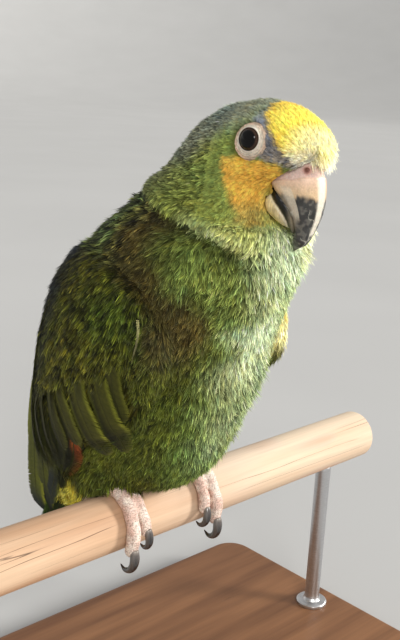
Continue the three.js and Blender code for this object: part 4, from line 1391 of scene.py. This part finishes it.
for side, sign in SIDES.items():
    made = []
    for rows, spec in WING_VANES:
        for number, (y0, z0, y1, z1, half, *tip_out) in enumerate(rows):
            if side == "left" and rows in (SECONDARIES, GREATER_COVERTS):
                tip_out = []
            path, up = steered(side_place(y0, z0, sign), side_place(y1, z1, sign), *tip_out)
            if spec["stands"]:  # the tips stand out from the body, and face outwards
                up = unit(mix(up, np.array([sign, -0.4, 0.15]), np.linspace(0, 1, len(up))[:, None] ** 0.5))
            # Further back feathers lie over those in front of them.
            front = np.sign(np.cross(up[7], path[8] - path[7]) @ np.array([0, -1.0, 0]))
            one = dict(spec, front=front, tilt=spec["tilt"] * front, lift=spec["lift"] + 0.05 * number, rise=0.5)
            if rows is GREATER_COVERTS:
                one["rim"] = COVERT_RIMS[number]
            made.append((path, up, half * MM, one))
    if side == "right":  # the pale edge of the folded wing, where the breast's feathers end
        path, _ = steered(side_place(-32.5, 101, sign), side_place(-31.5, 84, sign))
        path[:, 1] -= 1.2 * MM * np.sin(np.linspace(0, math.pi, len(path)))
        made.append((*on_skin(path), 0.36 * MM, PALE_EDGE))
    vanes("flight_feathers_" + side, "wing_feathers", made, wing_colour)


# ---- Tail ----
TAIL_ROOT, TAIL_LEAN = (36, 42), math.radians(18.5)  # y and z in millimetres
TAIL_PAIRS, TAIL_LENGTH, TAIL_SHORTER, TAIL_HALF, TAIL_THICK = 6, 104, 2.4, 9.7, 1.3
TAIL_STEP, TAIL_FAN, TAIL_SPREAD = 0.85, 0.9, 1.6  # from pair to pair: millimetres, degrees and millimetres
TAIL_GREEN, TAIL_END, TAIL_SHAFT = srgb(66, 92, 36), srgb(150, 160, 62), srgb(60, 62, 30)
TAIL_ABOVE, TAIL_BELOW = srgb(84, 110, 40), srgb(160, 110, 40)


def tail_colour(v, along, across, spec):
    edge, a = np.clip(np.abs(across), 0, 1)[..., None], along[..., None]
    colour = mix(TAIL_GREEN, TAIL_END, step(0.74, 0.92, a))
    colour = mix(colour, spec["colour"], step(0.55, 0.35, a) * 0.8)
    colour = mix(colour * 0.8, colour, step(0.0, 0.5, edge))
    return np.where(across[..., None] == ON_SHAFT, TAIL_SHAFT, colour)


made = []
down = np.array([0, math.sin(TAIL_LEAN), -math.cos(TAIL_LEAN)])
back = np.array([0, math.cos(TAIL_LEAN), math.sin(TAIL_LEAN)])
for pair in range(TAIL_PAIRS):
    for sign in (-1, 1):
        for face, lift, colour in ((1, 0.35, TAIL_ABOVE), (-1, 0.1, TAIL_BELOW)):
            turn = math.radians(TAIL_FAN * (pair + 0.5))
            way = down * math.cos(turn) + np.array([sign * math.sin(turn), 0, 0])
            start = np.array([sign * TAIL_SPREAD * (pair + 1), *TAIL_ROOT])
            start = start + back * (-TAIL_STEP * pair + 0.5 * TAIL_THICK)
            share = np.linspace(0.15, 1, 15)[:, None]
            path = placed(start + way * (TAIL_LENGTH - TAIL_SHORTER * pair) * share)
            spec = dict(VANE, lift=lift, tip=0.14, camber=0.03, colour=colour)
            made.append((path, np.broadcast_to(back * face, path.shape), TAIL_HALF * MM, spec))
vanes("tail_feathers", "tail_feathers", made, tail_colour, "tail")


# ---- Feet: pebbly toes round the perch, and hooked claws ----
HIP = 21.5
TOES = {  # from and to in degrees round the perch, thickness, start and end beside the hip, droop, claw length
    "outer_front": (84, 204, 3.3, 1.4, 3.0, 3.6, 11.5),
    "inner_front": (92, 188, 2.9, -2.6, -4.5, 0.0, 9.5),
    "outer_back": (88, -26, 3.2, 1.6, 4.5, 0.0, 9.5),
    "inner_back": (80, -6, 2.8, -2.6, -5.0, 0.0, 8.0),
}
TOE_POINTS, KNUCKLES = 13, 2.5
TOE_SHARE = np.linspace(0, 1, TOE_POINTS)
TOE_WAVE = np.cos(TOE_SHARE * 2 * math.pi * KNUCKLES)
TOE_SIZE = np.interp(TOE_SHARE, [0, 0.2, 0.4, 0.6, 0.8, 1], [1.03, 1, 0.88, 0.92, 0.88, 0.8])
ANKLE, ANKLE_SIZE = [(HIP - 2, 3, 36), (HIP - 1, 3, 27), (HIP, 2, 18.5)], [4.2, 4.3, 4.6]
TOE_VOXEL, TOE_SMOOTHING = 0.42 * MM, 5
FOOT_PALE, FOOT_PINK, FOOT_GAP, FOOT_PIT = (
    srgb(238, 222, 208), srgb(222, 188, 172), srgb(146, 112, 96), srgb(96, 74, 62))
CLAW_LINE = [  # along the toe and away from it, in shares of the claw's length
    (-0.42, 0.16), (-0.08, 0.27), (0.26, 0.27), (0.54, 0.12), (0.68, -0.14), (0.6, -0.4),
]
CLAW_SIZE = np.array([0.5, 0.6, 0.54, 0.42, 0.26, 0.06])
CLAW_ROWS, CLAW_COLS = 70, 32
CLAW_ROOT, CLAW_BLACK, CLAW_CUFF, CLAW_GLINT = (
    srgb(96, 88, 84), srgb(34, 31, 31), srgb(150, 140, 130), srgb(168, 160, 152))


def toe_path(toe):
    start, end, thick, near, far, hang, _ = TOES[toe]
    angle = np.radians(start + (end - start) * TOE_SHARE)
    reach = PERCH_RADIUS / MM + 0.35 + 0.86 * thick + 0.25 * (0.35 * TOE_WAVE)
    down = hang * np.clip((TOE_SHARE - 0.8) / 0.2, 0, 1)
    x = HIP + near + (far - near) * TOE_SHARE
    return np.stack([x, reach * np.cos(angle), reach * np.sin(angle) - down], -1)


def make_foot(side):
    parts = []
    for toe, (_, _, thick, *_) in TOES.items():
        parts.append(limb(toe_path(toe), TOE_SIZE * thick * (1 + 0.07 * TOE_WAVE), 60, 28, 0.06))
    parts.append(limb(ANKLE, ANKLE_SIZE, 30, 28, 0.2))
    verts, quads = merged(parts)
    ob = remeshed(build("toes_" + side, placed(verts), quads), TOE_VOXEL, TOE_SMOOTHING)
    p = local(coords(ob)) * [SIDES[side], 1, 1]
    if side == "right":
        ob.data.flip_normals()
    move_to(ob, placed(p))
    no, p = normals(ob), local(coords(ob))
    near, far = cells(p, 0.88, 61)
    gap = step(0.0, 0.2, far - near)
    off_perch = step(0.2, 1.2, np.hypot(p[:, 1], p[:, 2]) - PERCH_RADIUS / MM)
    lift = (0.26 * (gap - 0.7) * step(1.05, 0.2, near) + 0.25 * ripple(p, 3.4, 62)) * off_perch
    p = p + no * lift[:, None]
    radial = np.hypot(p[:, 1], p[:, 2])
    p[:, 1:] *= (np.maximum(radial, PERCH_RADIUS / MM + 0.06) / np.maximum(radial, 1e-6))[:, None]
    move_to(ob, placed(p))
    tone = mix(FOOT_PINK, FOOT_PALE, step(-0.5, 0.6, ripple(p, 3.0, 63))[:, None])
    tone = tone * (1 + 0.12 * ripple(p, 1.1, 64)[:, None])
    colour = mix(FOOT_GAP, tone, (0.25 + 0.75 * gap)[:, None])
    paint(ob, mix(colour, FOOT_PIT, 0.5 * step(0.62, 0.85, ripple(p, 0.8, 65))[:, None]))
    made = bare_skin("toe_scales_" + side, 0.06, 1900, 0.85, 1.1, 0.1)
    finish_piece(ob, made, "foot_scales", "foot_" + side)


def make_claw(toe, side):
    thick, length = TOES[toe][2], TOES[toe][-1]
    path = toe_path(toe)
    run, tip = unit(path[-1] - path[-3]), path[-1]
    out = np.array([0, tip[1], tip[2]])
    out = unit(out - run * (run @ out))
    line = np.array([tip + run * length * a + out * length * b for a, b in CLAW_LINE])
    p, quads = limb(line, CLAW_SIZE * thick * 1.05, CLAW_ROWS, CLAW_COLS, 0.05)
    share = np.repeat(eased(CLAW_ROWS), CLAW_COLS)
    ob = build("talon_%s_%s" % (toe, side), placed(p * [SIDES[side], 1, 1]), quads[:, :: SIDES[side]])
    streak = ripple_of(np.tile(np.linspace(0, 12, CLAW_COLS), CLAW_ROWS), share * 5, 0, 71)
    colour = mix(CLAW_ROOT, CLAW_BLACK, step(0.0, 0.35, share)[:, None]) * (1 + 0.35 * streak[:, None])
    colour = mix(colour, CLAW_CUFF, (step(0.12, 0.02, share) * 0.7)[:, None])
    # Painted highlight: the claw paler on its two flat sides, away from its tip.
    glint_sides = step(0.35, 0.95, np.abs(normals(ob)[:, 0])) * step(0.95, 0.5, share)
    paint(ob, mix(colour, CLAW_GLINT, 0.2 * glint_sides[:, None]))
    finish_piece(ob, CLAW, "claw_horn", "claw_%s_%s" % (toe, side))


def claw_material():
    m = Nodes("claw_keratin", Roughness=0.2, Specular_IOR_Level=0.9)
    fine = m.noise(1.0, 3, (700, 700, 250))
    m.grained(fine, 0.75, 1.25)
    m.bump(fine, 0.05, 0.4)
    return m


CLAW = claw_material()
for side in SIDES:
    make_foot(side)
    for toe in TOES:
        make_claw(toe, side)


# ---- Perch and stand ----
PERCH_COLS, PERCH_ROWS, PERCH_EDGE = 128, 260, 1.8 * MM
PERCH_STAIN_AND_SHADE, PERCH_SHADE_TO_LIGHT = np.array([0.86, 0.70, 0.60]), (np.array([0.92, 0.84, 0.78]), np.array([1.0, 1.05, 1.14]))
BIRCH, BIRCH_DARK = srgb(228, 206, 180), srgb(208, 176, 146)
WALNUT, WALNUT_DARK = srgb(140, 98, 66), srgb(96, 62, 40)
BASE_CORNER, BASE_BEVEL, BASE_MIDDLE = 14 * MM, 3 * MM, 12.6 * MM
ROD_COLS = 48
COLLAR = [(1, 0), (2.1, 0), (2.1, 1.6), (1.9, 2.2), (1.25, 2.6), (1.05, 4), (1, 5)]  # radii, and mm over the board


def wood_material(name, pale, dark, cracks, rough, tinted=False):
    m = Nodes(name, Roughness=rough, Specular_IOR_Level=0.3)
    broad = m.noise(1.0, 3, (5, 70, 70))
    grain = m.noise(1.0, 5, (14, 520, 520), 0.65)
    colour = m.ramp(broad, (0.3, tuple(dark)), (0.62, tuple(pale)))
    colour = m.blend(colour, m.ramp(grain, (0.3, 0.9), (0.62, 1.04)))
    near = m.math("ABSOLUTE", m.math("SUBTRACT", m.noise(1.0, 3, (4, 120, 120), 0.5), 0.5), 0.0)
    where = m.ramp(m.noise(1.0, 2, (11, 50, 50)), (0.56, 0.0), (0.64, 1.0))
    crack = m.math("MULTIPLY", m.math("MULTIPLY", m.ramp(near, (0.0, 1.0), (0.008, 0.0)), where), cracks)
    colour = m.blend(colour, tuple(dark * 0.22), crack, "MIX")
    if tinted:
        colour = m.blend(colour, m.painted())
    m.set("Base Color", colour)
    m.bump(m.math("SUBTRACT", m.math("MULTIPLY", grain, 0.3), crack), 0.25, 0.6)
    return m


def make_perch():
    edge = PERCH_HIGH[0] - PERCH_MID[0] - PERCH_EDGE
    turn_in = np.linspace(0, math.pi / 2, 7)[1:]
    end_x, end_r = edge + PERCH_EDGE * np.sin(turn_in), PERCH_RADIUS - PERCH_EDGE * (1 - np.cos(turn_in))
    inner = np.array([0.72, 0.4, 0.1]) * PERCH_RADIUS
    end_x, end_r = np.concatenate([end_x, end_x[-1:].repeat(3)]), np.concatenate([end_r, inner])
    xs = np.concatenate([-end_x[::-1], np.linspace(-edge, edge, PERCH_ROWS), end_x])[:, None]
    rs = np.concatenate([end_r[::-1], np.full(PERCH_ROWS, PERCH_RADIUS), end_r])[:, None]
    turn = round_turn(PERCH_COLS)
    p = np.stack([xs + 0 * turn, rs * np.cos(turn), rs * np.sin(turn)], -1).reshape(-1, 3)
    wear = ripple(p / MM * [0.12, 1, 1], 5.0, 81)
    p[:, 1:] *= (1 - 0.004 - 0.004 * wear)[:, None]
    ring = np.arange(PERCH_COLS)
    tris = np.concatenate([cap(len(p), ring), cap(len(p) + 1, len(p) - PERCH_COLS + ring[::-1])])
    p = np.concatenate([p, [[xs[0, 0], 0, 0], [xs[-1, 0], 0, 0]]])
    ob = build("perch_dowel", PERCH_MID + p, grid_faces(len(xs), PERCH_COLS)[:, ::-1], tris[:, ::-1])
    q = local(coords(ob))
    # Darker orange patches of stain and painted shade, heaviest by the bird's right foot; and the dowel runs from
    # painted shade at the bird's right-hand end to painted light at its left-hand end.
    under_bird = 0.6 * step(50, -20, q[:, 0]) * step(-110, -60, q[:, 0])
    stain_and_shade = step(-0.2, 0.7, ripple(q * [0.25, 1, 1], 9, 82) + under_bird - 0.2)
    tint = mix(*PERCH_SHADE_TO_LIGHT, step(-50, 120, q[:, :1]))
    paint(ob, mix(tint, tint * PERCH_STAIN_AND_SHADE, 0.6 * stain_and_shade[:, None]))
    finish_piece(ob, wood_material("perch_wood_bare", BIRCH, BIRCH_DARK, 1.0, 0.6, True), "perch_wood", "perch")


def make_base():
    low, high, mid = node_box("stand_base")
    half, height = (high - low)[:2] / 2, high[2] - low[2]
    arc = np.linspace(0, math.pi / 2, 14)
    rim = []
    for k, corner in enumerate(((1, 1), (-1, 1), (-1, -1), (1, -1))):
        out = np.stack([np.cos(arc + k * math.pi / 2), np.sin(arc + k * math.pi / 2)], -1)
        rim.append(np.hstack([np.array(corner) * (half - BASE_CORNER) + BASE_CORNER * out, out]))
    rim = np.concatenate(rim)
    ease = np.linspace(0, math.pi / 2, 8)[1:]
    bevel = BASE_BEVEL * (1 - np.cos(ease))
    inset = [BASE_MIDDLE, 1.2 * MM, 0.3 * MM, 0, 0, *bevel, BASE_BEVEL + 2 * MM, BASE_MIDDLE]
    top = height - BASE_BEVEL
    z = [0, 0, 0.3 * MM, 1.0 * MM, top, *(top + BASE_BEVEL * np.sin(ease)), height, height]
    rows = [np.column_stack([rim[:, :2] - d * rim[:, 2:], np.full(len(rim), h)]) for d, h in zip(inset, z)]
    p = np.concatenate(rows + [[[0, 0, 0], [0, 0, height]]])
    ring = np.arange(len(rim))
    last = (len(rows) - 1) * len(rim)
    ends = np.concatenate([cap(len(p) - 2, ring)[:, [0, 2, 1]], cap(len(p) - 1, last + ring)])
    ob = build("stand_base_board", p + [*mid[:2], low[2]], grid_faces(len(rows), len(rim)), ends)
    finish_piece(ob, wood_material("stand_wood_waxed", WALNUT, WALNUT_DARK, 0.3, 0.45), "stand_wood", "stand_base")


def make_rod(side):
    low, high, mid = node_box("stand_rod_" + side)
    radius, foot = (high[0] - low[0]) / 2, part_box("stand_base")[1].z
    profile = [(0, low[2]), (radius, low[2])] + [(radius * r, foot + z * MM) for r, z in COLLAR]
    profile += [(radius, high[2] - 1 * MM), (radius * 0.9, high[2]), (0, high[2])]
    profile = np.array(profile)[:, None]
    rows = (profile[:-1] + np.diff(profile, axis=0) * np.linspace(0.02, 0.98, 6)[:, None]).reshape(-1, 2)
    turn = round_turn(ROD_COLS)
    p = [mid[0] + rows[:, :1] * np.cos(turn), mid[1] + rows[:, :1] * np.sin(turn), rows[:, 1:] + 0 * turn]
    ob = build("stand_post_" + side, np.stack(p, -1).reshape(-1, 3), grid_faces(len(rows), ROD_COLS))
    m = Nodes("post_steel_" + side, Metallic=1.0)
    brushed = m.noise(1.0, 3, (300, 300, 4000))
    m.set("Base Color", m.ramp(brushed, (0.3, (0.50, 0.50, 0.51)), (0.7, (0.66, 0.66, 0.67))))
    m.set("Roughness", m.ramp(brushed, (0.3, 0.28), (0.7, 0.42)))
    m.bump(brushed, 0.02, 0.3)
    finish_piece(ob, m, "stand_steel", "stand_rod_" + side)


make_perch()
make_base()
for side in SIDES:
    make_rod(side)

bpy.context.scene.view_settings.view_transform = "Standard"
make_stage()
make_camera()
lamp("key", (0.58, -0.74, 0.42), 15, 2.7, (1.0, 0.98, 0.94))
lamp("rim", (0.94, -0.2, 0.28), 20, 2.2, (1.0, 0.98, 0.95))
lamp("fill", (-0.5, -0.8, 0.45), 18, 1.3, (1.0, 0.98, 0.94))
